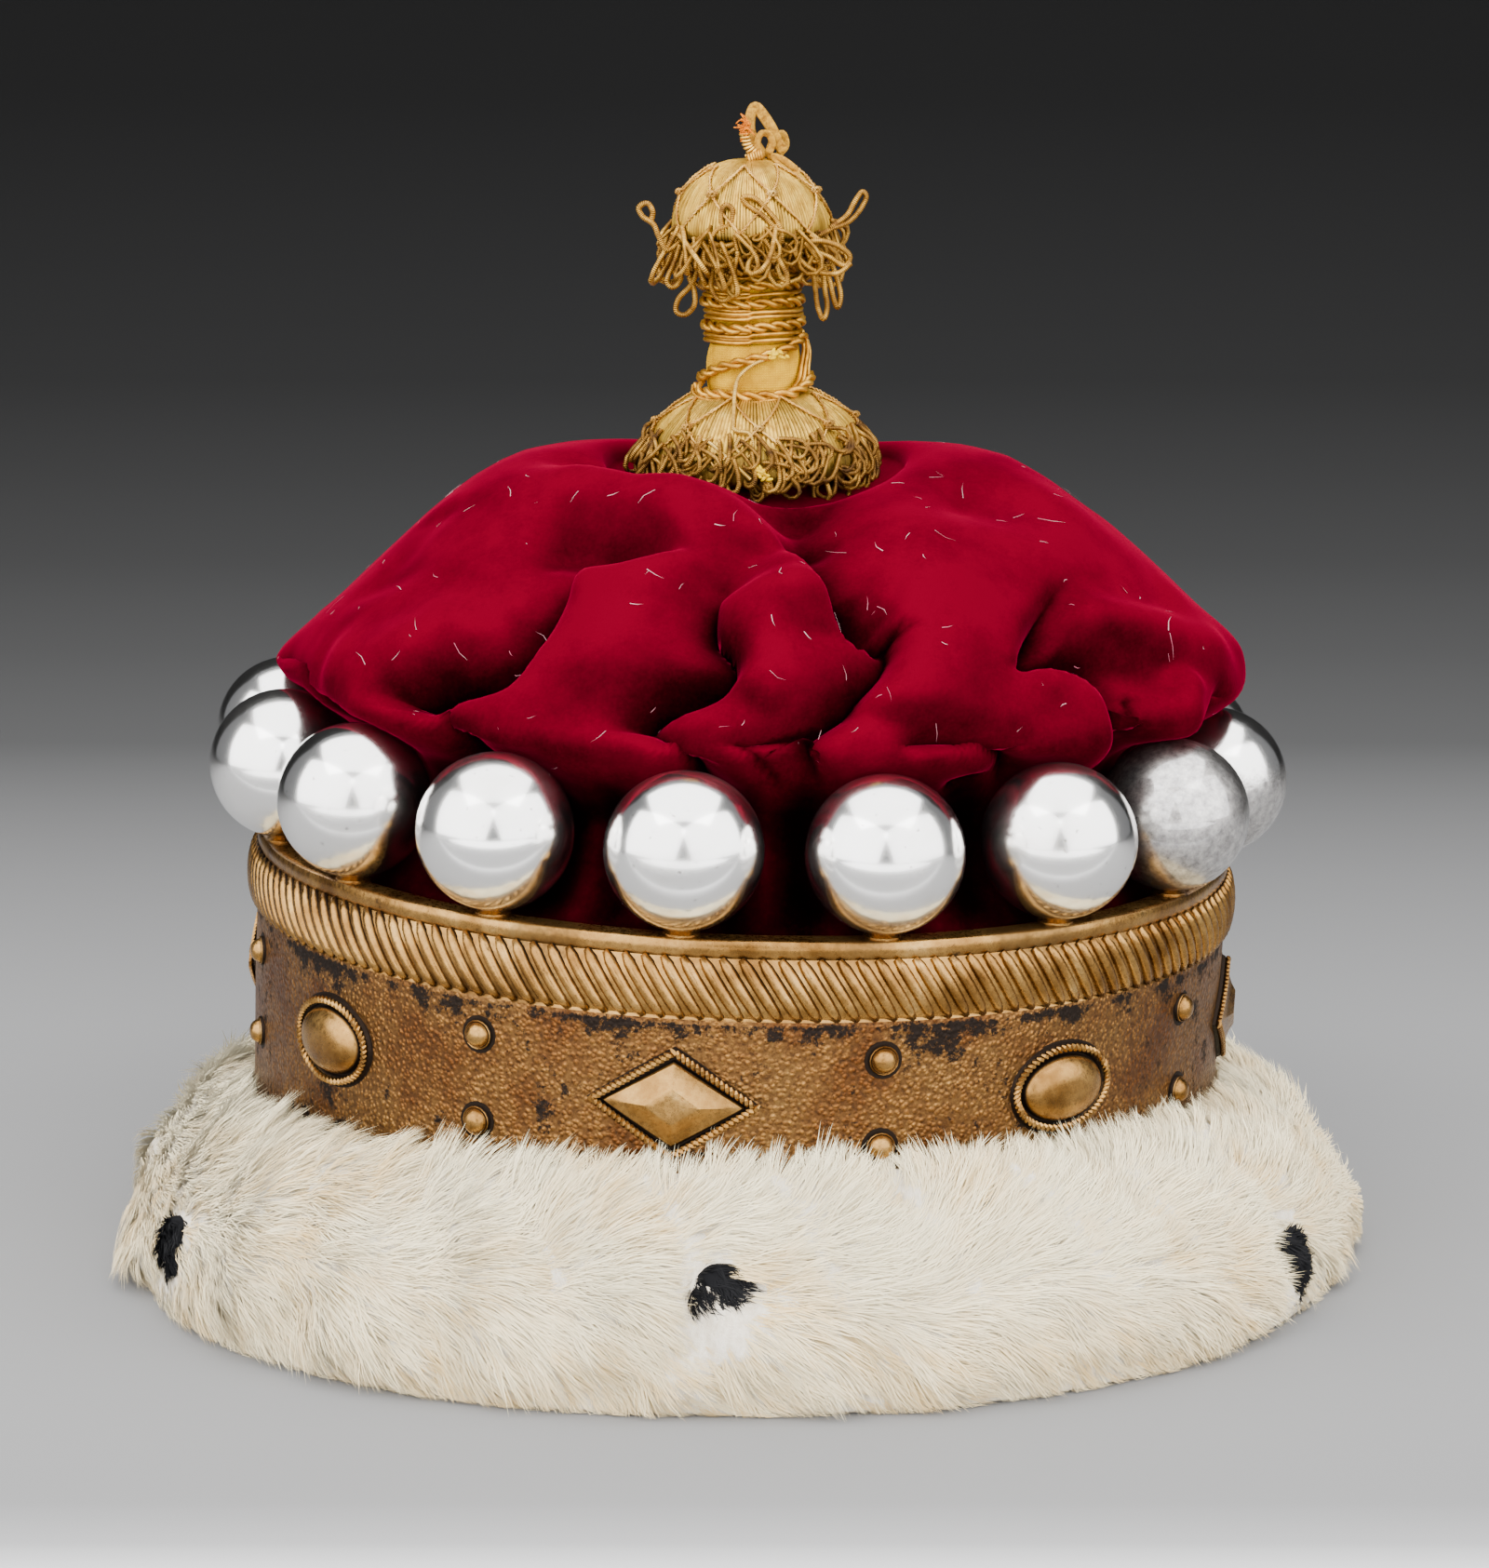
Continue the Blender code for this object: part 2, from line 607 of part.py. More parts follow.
def fur_point(azimuth, out, up, locks=1.0):
    """A point of the fur's skin, with the swell of its locks, which lie slantwise."""
    radius, top = fur_section(azimuth)
    reach = FUR_SHOULDER_RADIUS + out * (radius * MM - FUR_SHOULDER_RADIUS)
    phase = FUR_LOCKS * azimuth + FUR_LOCK_SLANT * up
    swell = FUR_LOCK_RELIEF * (abs(math.sin(phase / 2)) - 0.5) * locks
    swell += FUR_WAVE_RELIEF * math.sin(FUR_WAVES * azimuth + FUR_LOCK_SLANT * up) * locks
    fade = smooth_step(0.05, 0.3, out) * smooth_step(0.0, 0.2, up)
    return polar(reach + swell * fade, azimuth, top * MM * up + 0.6 * swell * fade * (1 - out))


def make_fur_ring(parts, material):
    """The border: a backing with a flat sole and a shoulder for the circlet, and the fur outside it."""
    bm = bmesh.new()
    azimuths = [2 * math.pi * index / FUR_COLUMNS for index in range(FUR_COLUMNS)]
    rings = []
    for radius, level in ((FUR_INNER_RADIUS, 0.0), (FUR_INNER_RADIUS, None), (FUR_SHOULDER_RADIUS, None)):
        ring = []
        for azimuth in azimuths:
            point = polar(radius, azimuth, 0.0)
            point.x += CROWN_SHIFT_X
            point.z = crown_plane_height(point.x, CROWN_BASE_Z - GAP) if level is None else level
            ring.append(bm.verts.new(point))
        rings.append(ring)
    for _, out, up in FUR_SKIN:
        ring = []
        for azimuth in azimuths:
            point = fur_point(azimuth, out, up)
            point.x += CROWN_SHIFT_X * (1.0 - out)
            ring.append(bm.verts.new(point))
        rings.append(ring)
    rings.append(rings[0])
    bridge_rings(bm, rings)
    fit_to_box(bm, FUR_SIZE)
    return mesh_object("fur_border", bm, parts, material, smooth_degrees=60)


def fit_to_box(bm, size):
    """Stretch the outermost skin a little, so that the border is centred and has its named size."""
    for axis in (0, 1):
        low = min(vertex.co[axis] for vertex in bm.verts)
        high = max(vertex.co[axis] for vertex in bm.verts)
        for vertex in bm.verts:
            radius = math.hypot(vertex.co.x, vertex.co.y)
            share = smooth_step(*FUR_FIT_RADII, radius)
            wanted = size[axis] / 2 / (high if vertex.co[axis] > 0 else -low)
            vertex.co[axis] *= 1.0 + (wanted - 1.0) * share


def tail_matrix(azimuth, height):
    """Place of a black tail: its middle a little inside the fur's skin at that height."""
    _, top = fur_section(azimuth)
    level = height / top
    rows = [(out, up) for _, out, up in FUR_SKIN[1:]]
    for (upper_out, upper_up), (lower_out, lower_up) in zip(rows, rows[1:]):
        if lower_up <= level <= upper_up:
            local = (upper_up - level) / (upper_up - lower_up)
            out = upper_out + (lower_out - upper_out) * local
    place = fur_point(azimuth, out, level, locks=0.0)
    place -= polar(TAIL_SETBACK, azimuth, 0.0)
    return Matrix.Translation(place) @ Matrix.Rotation(azimuth, 4, "Z")


def make_tails(parts, cutters, material, fur):
    """Six black tail tips, each in a pocket of the fur that is a little larger than itself."""
    bm = bmesh.new()
    for _, degrees, height in TAILS:
        grown = [radius + GAP for radius in TAIL_RADII]
        place = tail_matrix(math.radians(degrees), height) @ Matrix.Diagonal((*grown, 1.0))
        bmesh.ops.create_uvsphere(bm, u_segments=10, v_segments=6, radius=1.0, matrix=place)
    pockets = mesh_object("tail pockets", bm, cutters, material)
    as_cutter(pockets)
    add_boolean(fur, pockets, "DIFFERENCE")
    for number, (_, degrees, height) in enumerate(TAILS, start=1):
        bm = bmesh.new()
        shape = Matrix.Diagonal((*TAIL_RADII, 1.0))
        bmesh.ops.create_uvsphere(bm, u_segments=10, v_segments=6, radius=1.0, matrix=shape)
        tail = mesh_object(f"ermine_tail_{number}", bm, parts, material)
        tail.matrix_world = tail_matrix(math.radians(degrees), height)


def make_winding(parts, material, parent):
    """The cord wound round the neck, as a sleeve with one bead for each turn."""
    start, end = WINDING_SPAN
    pitch = (end - start) / WINDING_TURNS
    section = [(WINDING_INNER_RADIUS, start), (WINDING_INNER_RADIUS, end)]
    for turn in reversed(range(WINDING_TURNS)):
        section.append((WINDING_RADIUS - WINDING_GROOVE, start + pitch * (turn + 1)))
        section.append((WINDING_RADIUS, start + pitch * (turn + 0.5)))
    section.append((WINDING_RADIUS - WINDING_GROOVE, start))
    bm = bmesh.new()
    angles = [2 * math.pi * index / WINDING_SIDES for index in range(WINDING_SIDES)]
    rings = [[bm.verts.new(polar(radius, angle, height)) for angle in angles] for radius, height in section]
    bridge_rings(bm, rings + rings[:1])
    return mesh_object("neck_winding", bm, parts, material, parent)


def make_tassel(parts, gold, cloth, crown):
    foot = new_empty("tassel_foot", parts, TASSEL_FOOT, TASSEL_LEAN, crown)
    turned_solid("tassel_base", BASE_PROFILE, 36, 18, parts, gold, foot, seed=3)
    turned_solid("tassel_neck", NECK_PROFILE, 16, 0, parts, cloth, foot)
    make_winding(parts, gold, foot)
    turned_solid("tassel_head", HEAD_PROFILE, 32, 16, parts, gold, foot, seed=5)
    turned_solid("finial", FINIAL_PROFILE, 12, 3, parts, gold, foot, seed=7, twist=0.3)


def main():
    clear_scene()
    parts = new_collection("coronet")
    cutters = new_collection("cutters")
    gilt = new_material("silver_gilt", (0.62, 0.42, 0.16), 0.45, 1.0)
    silver = new_material("silver", (0.88, 0.87, 0.84), 0.12, 1.0)
    velvet = new_material("crimson_velvet", (0.36, 0.004, 0.03), 0.85, 0.0)
    white_fur = new_material("white_fur", (0.86, 0.82, 0.74), 0.9, 0.0)
    black_fur = new_material("black_fur", (0.012, 0.012, 0.016), 0.8, 0.0)
    gold_thread = new_material("gold_thread", (0.66, 0.47, 0.18), 0.5, 0.6)
    yellow_cloth = new_material("yellow_cloth", (0.72, 0.42, 0.06), 0.8, 0.0)

    crown = new_empty("crown", parts, (CROWN_SHIFT_X, 0.0, CROWN_BASE_Z), CROWN_LEAN)
    level = new_empty("crown_level", parts, (0.0, 0.0, -CROWN_BASE_Z), parent=crown)
    bpy.context.view_layer.update()
    make_circlet(parts, cutters, gilt, level)
    make_balls(parts, silver, level)
    make_cap(parts, velvet, level)
    fur = make_fur_ring(parts, white_fur)
    make_tails(parts, cutters, black_fur, fur)
    make_tassel(parts, gold_thread, yellow_cloth, level)
    bpy.context.view_layer.update()


if __name__ == "__main__":
    main()
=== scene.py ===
"""A peer's coronet: gilt circlet, silver balls, crimson velvet cap, gold tassel and a fur border.

Metres, +Z up, -Y to the front. The crown leans a little to +X on its fur border, so its pieces are
worked out in the crown's own frame and moved over in their meshes.
"""

import json
import math
import random

import bpy
import numpy as np
from bpy.props import FloatProperty, FloatVectorProperty, IntProperty, PointerProperty
from mathutils import Matrix, Vector

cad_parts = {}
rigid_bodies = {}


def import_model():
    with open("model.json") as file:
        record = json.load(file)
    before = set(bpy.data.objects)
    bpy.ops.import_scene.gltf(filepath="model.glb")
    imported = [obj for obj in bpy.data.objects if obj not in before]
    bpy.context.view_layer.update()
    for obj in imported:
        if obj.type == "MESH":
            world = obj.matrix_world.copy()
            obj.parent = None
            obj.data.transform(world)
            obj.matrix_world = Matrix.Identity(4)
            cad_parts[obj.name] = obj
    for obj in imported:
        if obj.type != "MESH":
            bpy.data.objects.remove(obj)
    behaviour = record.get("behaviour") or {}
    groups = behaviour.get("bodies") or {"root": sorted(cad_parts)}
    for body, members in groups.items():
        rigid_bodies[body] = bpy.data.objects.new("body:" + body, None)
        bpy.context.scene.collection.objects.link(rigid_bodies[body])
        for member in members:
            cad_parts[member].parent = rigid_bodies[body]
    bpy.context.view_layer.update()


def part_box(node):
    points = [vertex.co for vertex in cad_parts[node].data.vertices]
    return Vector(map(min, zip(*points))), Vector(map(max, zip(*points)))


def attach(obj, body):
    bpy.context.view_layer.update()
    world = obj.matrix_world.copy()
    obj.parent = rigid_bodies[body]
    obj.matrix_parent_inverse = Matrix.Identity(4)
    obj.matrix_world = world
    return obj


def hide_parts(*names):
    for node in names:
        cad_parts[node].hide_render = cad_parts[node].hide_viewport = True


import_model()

bl_info = {
    "name": "Coronet",
    "version": (1, 0, 0),
    "blender": (4, 5, 0),
    "location": "3D View > Sidebar > Coronet",
    "description": "Dresses the packed coronet in gilt, silver, velvet, fur and gold thread",
    "category": "Object",
}

MM = 0.001
TURN = 2 * math.pi

# The crown's frame leans about the band's foot, and the tassel's frame stands inside it
CROWN_SHIFT = -2.4
CROWN_LEAN = math.radians(1.95)
BAND_FOOT = 25.0
CROWN = (Matrix.Translation((CROWN_SHIFT * MM, 0.0, BAND_FOOT * MM)) @ Matrix.Rotation(CROWN_LEAN, 4, "Y")
         @ Matrix.Translation((0.0, 0.0, -BAND_FOOT * MM)))
TASSEL = (CROWN @ Matrix.Translation((0.2 * MM, 0.0, 150.9 * MM))
          @ Matrix.Rotation(math.radians(-3.2), 4, "Y"))

# Circlet, in mm in the crown's frame; what lies inside BAND_INSIDE is its inner face
BAND_RADIUS = 95.2
BAND_INSIDE = 94.0
ROPE_SPAN = (66.8, 78.2)
ROPE_BULGE = 1.4
# Heights where the plain band meets the rope above it and the fur below it
BAND_TOP = 65.6
FUR_LINE = 34.0
# Radius and height from the lip's inner edge out over it, down the outside and up the inside
BAND_SECTION = (
    (89.6, 77.6), (89.6, 79.4), (89.65, 80.8), (89.9, 81.2), (91.5, 81.3), (93.6, 81.3), (94.9, 81.2),
    (95.25, 80.9), (95.3, 79.6), (95.2, 78.5), (94.9, 77.9), (95.6, 76.6), (96.0, 74.8), (96.1, 72.5),
    (96.0, 70.2), (95.6, 68.4), (94.9, 67.1), (95.15, 66.6), (95.2, 65.6), (95.2, 63.2), (95.2, 60.6),
    (95.2, 58.0), (95.2, 55.4), (95.2, 52.8), (95.2, 50.2), (95.2, 47.6), (95.2, 45.0), (95.2, 42.4),
    (95.2, 39.8), (95.2, 37.0), (95.2, 33.0), (95.2, 29.0), (95.2, 25.6), (94.9, 25.0), (93.5, 25.0),
    (93.2, 25.4), (93.2, 50.0), (93.2, 73.6), (91.4, 75.7),
)
BALL_COUNT = 16
# The matt ball at the right, whose soldered seam shows
SEAMED_BALL = 3
BALL_RADIUS = 14.3
BALL_RING = 91.5
BALL_HEIGHT = 96.2
FIRST_BALL = math.radians(-6.85)
PITCH = TURN / BALL_COUNT
ORNAMENT_HEIGHT = 51.2
LOZENGE_SIZE = (31.2, 21.0)
OVAL_SIZE = (23.6, 16.7)
STUD_RADIUS = 2.8
STUD_HEIGHTS = (43.6, 59.6)
# Sections of the bosses: share of the boss's half width and half height, then relief in mm
LOZENGE_BOSS = ((1.05, 1.06, -0.6), (1.03, 1.04, 0.9), (0.985, 0.975, 1.45), (0.80, 0.80, 1.75),
                (0.60, 0.62, 2.25), (0.40, 0.46, 2.95), (0.36, 0.42, 3.05), (0.20, 0.22, 3.0))
OVAL_BOSS = ((1.02, 1.03, -0.6), (1.0, 1.0, 0.9), (0.94, 0.93, 1.7), (0.82, 0.81, 2.5), (0.64, 0.63, 3.1),
             (0.42, 0.41, 3.45), (0.2, 0.2, 3.6))
STUD_BOSS = ((1.0, 1.0, -0.6), (1.0, 1.0, 0.5), (0.93, 0.93, 0.75), (0.84, 0.84, 0.6), (0.80, 0.80, 1.0),
             (0.66, 0.66, 1.75), (0.45, 0.45, 2.2), (0.2, 0.2, 2.4))
# Rope frame of a medallion: how far in from its outline it lies, in mm
FRAME_INSET = 0.9
# Bed of a medallion: mm past its outline across and up, relief in mm, tone
MEDALLION_BED = (
    (0.4, 0.5, -0.3, 1.0), (0.3, 0.4, 0.06, 1.0), (0.0, 0.0, 0.12, 1.0), (-0.3, -0.3, 0.7, 0.75),
    (-FRAME_INSET, -FRAME_INSET, 0.95, 0.5), (-1.6, -1.6, 0.7, 0.75), (-1.9, -1.9, 0.2, 1.0),
    (-3.4, -3.2, 0.2, 1.0),
)

# Velvet cap: share of the way down, then radius and height at the left, front, right and back, in mm
CAP_STATIONS = (
    (0.00, 1.5, 150.2, 1.5, 150.3, 1.5, 150.4, 1.5, 150.3),
    (0.14, 26.0, 148.8, 25.5, 149.6, 26.0, 151.6, 26.0, 150.2),
    (0.19, 31.5, 154.8, 31.0, 149.6, 31.5, 157.0, 31.0, 152.5),
    (0.30, 46.5, 154.0, 46.0, 146.0, 48.5, 156.4, 47.0, 150.5),
    (0.44, 65.0, 141.8, 63.0, 137.0, 69.0, 143.8, 67.0, 140.0),
    (0.56, 79.0, 128.5, 76.0, 125.5, 84.0, 131.0, 80.0, 127.5),
    (0.67, 90.4, 115.2, 83.5, 113.5, 95.2, 118.2, 89.0, 116.0),
    (0.73, 89.5, 112.0, 82.0, 108.6, 93.0, 112.8, 86.5, 110.8),
    (0.79, 79.6, 106.0, 78.0, 103.0, 80.2, 106.4, 79.2, 105.0),
    (0.85, 76.0, 96.0, 75.6, 96.0, 76.0, 96.0, 76.0, 96.0),
    (0.91, 82.0, 83.0, 82.0, 83.0, 82.0, 83.0, 82.0, 83.0),
    (0.95, 88.7, 70.0, 88.7, 70.0, 88.7, 70.0, 88.7, 70.0),
    (1.00, 88.7, 25.3, 88.7, 25.3, 88.7, 25.3, 88.7, 25.3),
)
# Length of a meridian and thickness of the cloth in mm
CAP_MERIDIAN = 170.0
CAP_WALL = 2.0
# Columns of points in front and behind, and the angle that the front ones take
CAP_COLUMNS = (244, 84)
CAP_FRONT_SPAN = math.radians(216)
# Rows of points between two shares of the meridian
CAP_ROWS = ((0.0, 0.16, 6), (0.16, 0.82, 96), (0.82, 0.93, 14), (0.93, 1.0, 6))
# Shares of the meridian between which the folds come in and go out
CAP_FADE = (0.16, 0.22, 0.80, 0.87)
# Brightness of the pile from the painted highlight where it catches the light to the painted shade in the
# creases: place, share of its colour
VELVET_STOPS = (
    (0.0, 2.0), (0.194, 1.45), (0.36, 1.0), (0.50, 0.58), (0.66, 0.23), (0.85, 0.05), (1.0, 0.018),
)
# Parts of the velvet that are darker or, below 0, lighter in the photo: azimuth in degrees, share of the
# meridian, half width in degrees, half height as a share, tone
CAP_PATCHES = ((62, 0.29, 22, 0.07, 0.22), (35, 0.42, 11, 0.06, -0.20), (11, 0.31, 5, 0.05, 0.30),
               (-20, 0.50, 8, 0.05, -0.16))
# Top outline of the cap as the camera sees it: mm across, mm above the aim of the camera
CAP_OUTLINE = (
    (-93.5, 26.1), (-88.9, 29.4), (-79.8, 36.6), (-70.6, 45.4), (-61.4, 54.0), (-52.3, 61.7),
    (-47.7, 64.4), (-43.1, 66.5), (-33.9, 67.9), (-24.8, 68.7), (0.0, 69.0), (23.8, 69.0), (33.0, 68.7),
    (42.2, 67.4), (51.3, 65.0), (60.5, 60.0), (69.7, 53.6), (78.8, 45.2), (88.0, 36.6), (97.2, 28.7),
    (99.9, 25.2),
)
# Folds: half width and height in mm; overhang of the lip that rolls over a crease, in mm, positive for
# the right side of a path that runs down; shares of the path over which it fades in and out; then the
# path as azimuth in degrees and share of the meridian
CAP_FOLDS = (
    ("behind_pillow", 8.0, -3.5, 0.0, (0.3, 0.3), ((-80, 0.30), (-60, 0.235), (-40, 0.215),
        (-22, 0.205))),
    ("pillow", 9.5, 5.6, 0.0, (0.3, 0.2), ((-72, 0.36), (-55, 0.275), (-22, 0.25), (-5, 0.30),
        (4, 0.37), (8, 0.45), (9, 0.51))),
    ("bowl", 9.5, -7.0, 0.0, (0.2, 0.3), ((-48, 0.385), (-38, 0.375), (-29, 0.365), (-21, 0.345),
        (-14, 0.325))),
    ("step", 5.5, 3.0, 0.0, (0.2, 0.2), ((-31, 0.455), (-27, 0.440), (-21, 0.428), (-15.5, 0.395),
        (-10, 0.345))),
    ("left_crease", 5.0, -9.5, 5.0, (0.4, 0.1), ((-33.5, 0.375), (-32, 0.43), (-31.2, 0.465),
        (-31, 0.511), (-32, 0.549), (-33, 0.580), (-34.6, 0.603), (-37.2, 0.618), (-40, 0.630),
        (-42.2, 0.648), (-43.8, 0.668), (-44.0, 0.682))),
    ("left_foot", 3.6, -6.5, -3.4, (0.12, 0.0), ((-45.5, 0.650), (-43.5, 0.668), (-40.5, 0.70),
        (-38.9, 0.742), (-38, 0.80))),
    ("left_lobe", 9.0, 2.6, 0.0, (0.2, 0.0), ((-44, 0.50), (-47, 0.57), (-50, 0.64), (-50, 0.78))),
    ("left_shelf", 8.0, 2.0, 0.0, (0.2, 0.2), ((-44, 0.585), (-54, 0.61), (-66, 0.65))),
    ("left_plane", 11.0, -2.2, 0.0, (0.2, 0.3), ((-80, 0.40), (-72, 0.48), (-64, 0.56))),
    ("left_under", 4.6, -4.2, -1.5, (0.2, 0.0), ((-86, 0.685), (-72, 0.705), (-62, 0.735),
        (-58, 0.79))),
    ("panel_ridge", 8.0, 2.6, 0.0, (0.2, 0.2), ((-11.4, 0.370), (-16.5, 0.438), (-20.5, 0.516),
        (-20, 0.62))),
    ("middle_hollow", 6.0, -4.6, 0.0, (0.3, 0.3), ((5, 0.325), (-0.5, 0.370), (-3.8, 0.405),
        (-6, 0.45))),
    ("middle_crease", 4.6, -9.0, 5.0, (0.3, 0.1), ((-3, 0.385), (-5, 0.419), (-5.5, 0.45),
        (-4.8, 0.482), (-2.4, 0.509), (-1.4, 0.534), (-2.1, 0.563), (-4.1, 0.586), (-6.5, 0.600),
        (-9.4, 0.612), (-11.6, 0.628), (-12.8, 0.650), (-12.9, 0.664))),
    ("middle_foot", 3.4, -6.5, -3.4, (0.12, 0.0), ((-14.5, 0.632), (-12.8, 0.650), (-10.9, 0.67),
        (-8.8, 0.705), (-7.1, 0.74), (-5.5, 0.80))),
    ("middle_lobe", 7.0, 2.4, 0.0, (0.2, 0.2), ((6, 0.41), (3.2, 0.486), (3.4, 0.56), (0.5, 0.61))),
    ("valley_top", 8.5, -6.0, 0.0, (0.4, 0.3), ((7, 0.20), (11, 0.24), (11.4, 0.31), (12.5, 0.38))),
    ("valley", 5.0, -9.0, -4.8, (0.35, 0.08), ((3, 0.285), (7, 0.333), (10, 0.383), (12, 0.432),
        (13.2, 0.465), (15.2, 0.495), (17.9, 0.512), (20.7, 0.520))),
    ("valley_wedge", 4.5, -3.5, 0.0, (0.3, 0.2), ((13.5, 0.43), (16.6, 0.462), (19.6, 0.495))),
    ("valley_low", 4.6, -8.5, 4.0, (0.06, 0.3), ((21.6, 0.498), (20.9, 0.510), (20.1, 0.535),
        (18.1, 0.562), (15, 0.590), (13, 0.612), (10, 0.634), (8.1, 0.656), (7.6, 0.685), (8.2, 0.72),
        (9.5, 0.76), (11, 0.80))),
    ("pocket_top", 3.4, -5.0, -1.3, (0.2, 0.2), ((13.5, 0.610), (8.8, 0.620), (4.8, 0.636),
        (1.4, 0.652), (-1, 0.671))),
    ("pocket_left", 3.2, -3.6, -1.1, (0.12, 0.3), ((-2.5, 0.652), (-1, 0.671), (2.4, 0.74), (5, 0.79))),
    ("right_ridge", 12.0, 3.6, 0.0, (0.3, 0.1), ((43, 0.25), (36, 0.349), (31, 0.419), (26, 0.497),
        (23, 0.574), (21, 0.64))),
    ("right_dip", 9.0, -2.6, 0.0, (0.3, 0.3), ((44, 0.28), (56, 0.34), (70, 0.35))),
    ("right_plane", 11.0, 2.2, 0.0, (0.3, 0.3), ((84, 0.37), (60, 0.41), (42, 0.46))),
    ("hollow", 4.6, -8.0, -4.8, (0.3, 0.0), ((60, 0.468), (53.5, 0.474), (48.5, 0.489), (44.2, 0.509),
        (41, 0.533), (39.2, 0.553), (39.6, 0.568), (42, 0.577), (45, 0.586), (47.4, 0.603),
        (48.4, 0.628), (48, 0.67), (48.5, 0.72), (50, 0.80))),
    ("hollow_ridge", 5.5, 3.4, 0.0, (0.2, 0.2), ((48, 0.520), (54, 0.532), (61, 0.560), (70, 0.600),
        (80, 0.648))),
    ("hollow_floor", 5.5, -3.6, 0.0, (0.2, 0.2), ((45, 0.548), (51, 0.578), (57, 0.61), (62, 0.65))),
    ("right_lobe", 6.0, 3.0, 0.0, (0.2, 0.0), ((36, 0.585), (42, 0.612), (43, 0.67), (43, 0.75))),
    ("dimple", 2.6, -1.8, 0.0, (0.3, 0.3), ((35.5, 0.552), (37.5, 0.576), (40.5, 0.591))),
    ("pleat", 3.4, -4.2, -1.2, (0.2, 0.0), ((54.5, 0.615), (52.6, 0.65), (52.6, 0.70), (54, 0.77))),
    ("pleat_swell", 4.6, 2.6, 0.0, (0.2, 0.0), ((64, 0.62), (60, 0.67), (60, 0.74))),
    ("far_pleat", 4.8, -3.4, -1.2, (0.2, 0.0), ((72, 0.655), (67, 0.70), (66, 0.76))),
    ("slit", 2.8, -6.0, -2.0, (0.04, 0.2), ((19, 0.667), (22.5, 0.669), (26, 0.675), (29, 0.70),
        (33, 0.745), (35.5, 0.80))),
    ("slit_tail", 4.6, -2.2, 0.0, (0.2, 0.3), ((26, 0.670), (31, 0.674), (38, 0.690))),
    ("lower_slit", 2.4, -3.5, -1.4, (0.2, 0.2), ((26.5, 0.788), (29, 0.778), (32, 0.762))),
    ("right_edge", 8.0, 2.2, 0.0, (0.2, 0.2), ((73.6, 0.52), (79.7, 0.59), (89, 0.655))),
    ("right_under", 4.0, -3.0, -1.0, (0.2, 0.2), ((99, 0.69), (88, 0.70), (76, 0.73))),
    ("back_a", 7.0, -6.5, -3.0, (0.3, 0.1), ((112, 0.36), (121, 0.46), (119, 0.56), (126, 0.64),
        (124, 0.76))),
    ("back_b", 11.0, 3.2, 0.0, (0.3, 0.1), ((138, 0.34), (142, 0.48), (139, 0.64))),
    ("back_c", 5.5, -8.0, 4.6, (0.3, 0.0), ((164, 0.40), (157, 0.50), (160, 0.57), (152, 0.64),
        (156, 0.76))),
    ("back_d", 11.0, 3.6, 0.0, (0.3, 0.1), ((180, 0.34), (176, 0.50), (179, 0.64))),
    ("back_e", 5.5, -8.0, -4.4, (0.3, 0.0), ((194, 0.38), (202, 0.48), (198, 0.57), (206, 0.64),
        (202, 0.77))),
    ("back_f", 11.0, 3.2, 0.0, (0.3, 0.1), ((222, 0.34), (217, 0.48), (221, 0.64))),
    ("back_g", 6.0, -7.5, 3.8, (0.3, 0.0), ((244, 0.38), (236, 0.48), (240, 0.57), (233, 0.65),
        (237, 0.76))),
    ("back_h", 10.0, 3.0, 0.0, (0.3, 0.1), ((258, 0.36), (254, 0.50), (256, 0.64))),
)

# Fur border, in mm: its width and depth, and the radius where its skin starts at the circlet
FUR_SIZE = (240.4, 232.8)
FUR_SHOULDER = 95.8
# Azimuth in degrees, outer radius and top height
FUR_SECTIONS = (
    (0, 116.0, 39.5), (33, 119.5, 38.5), (60, 121.5, 35.5), (90, 121.0, 31.0), (135, 119.0, 30.0),
    (180, 117.0, 30.0), (225, 118.5, 30.0), (270, 120.5, 31.0), (303, 124.5, 35.5), (330, 120.5, 38.5),
)
# The skin from the circlet out and down to the floor: share of the way out, share of the top height
FUR_SKIN = (
    (0.00, 0.30), (0.01, 0.80), (0.03, 0.94), (0.14, 1.00), (0.36, 0.89), (0.64, 0.70), (0.87, 0.46),
    (0.985, 0.25), (0.96, 0.06), (0.93, 0.01), (0.80, 0.005), (0.30, 0.005),
)
# Radius and height of the lining inside the border
FUR_LINING = ((87.0, 0.3), (86.2, 1.2), (86.2, 12.0), (86.2, 22.5), (87.2, 24.2), (94.6, 24.3))
# Last rows of the skin, below the border, that are lining cloth too
UNDERSIDE_ROWS = 10
# Slanting locks round the border
FUR_LOCKS = 28
# How far the hair stands out of the skin, in mm
HAIR_STAND = 1.2
# Lowest height of the hair, its least radius above the band's foot, and the room it may take, in m
HAIR_FLOOR = 0.25 * MM
HAIR_INSIDE = 95.7 * MM
HAIR_ROOM = np.array((121.6, 117.8, 1000.0)) * MM
# Lay of the hair at a height share: degrees above level, as it is combed to +X seen from the front
FUR_LAY = ((0.0, -48.0), (0.3, -42.0), (0.45, -24.0), (0.58, 6.0), (0.75, 22.0), (0.9, 48.0), (1.0, 74.0))
# Radius of the fur at the tails in mm, and black tufts to a square metre
TAIL_RING = 118.0
TAIL_DENSITY = 1.15e6
# Black tails: azimuth in degrees, height in mm, half width and half height of the tuft in mm
TAILS = ((-2.4, 19.0, 5.6, 7.4), (59, 10.5, 4.6, 6.8), (119, 13.0, 4.8, 6.8), (179, 13.0, 5.0, 7.0),
         (239, 13.0, 4.8, 6.8), (297.5, 12.0, 4.6, 6.4))

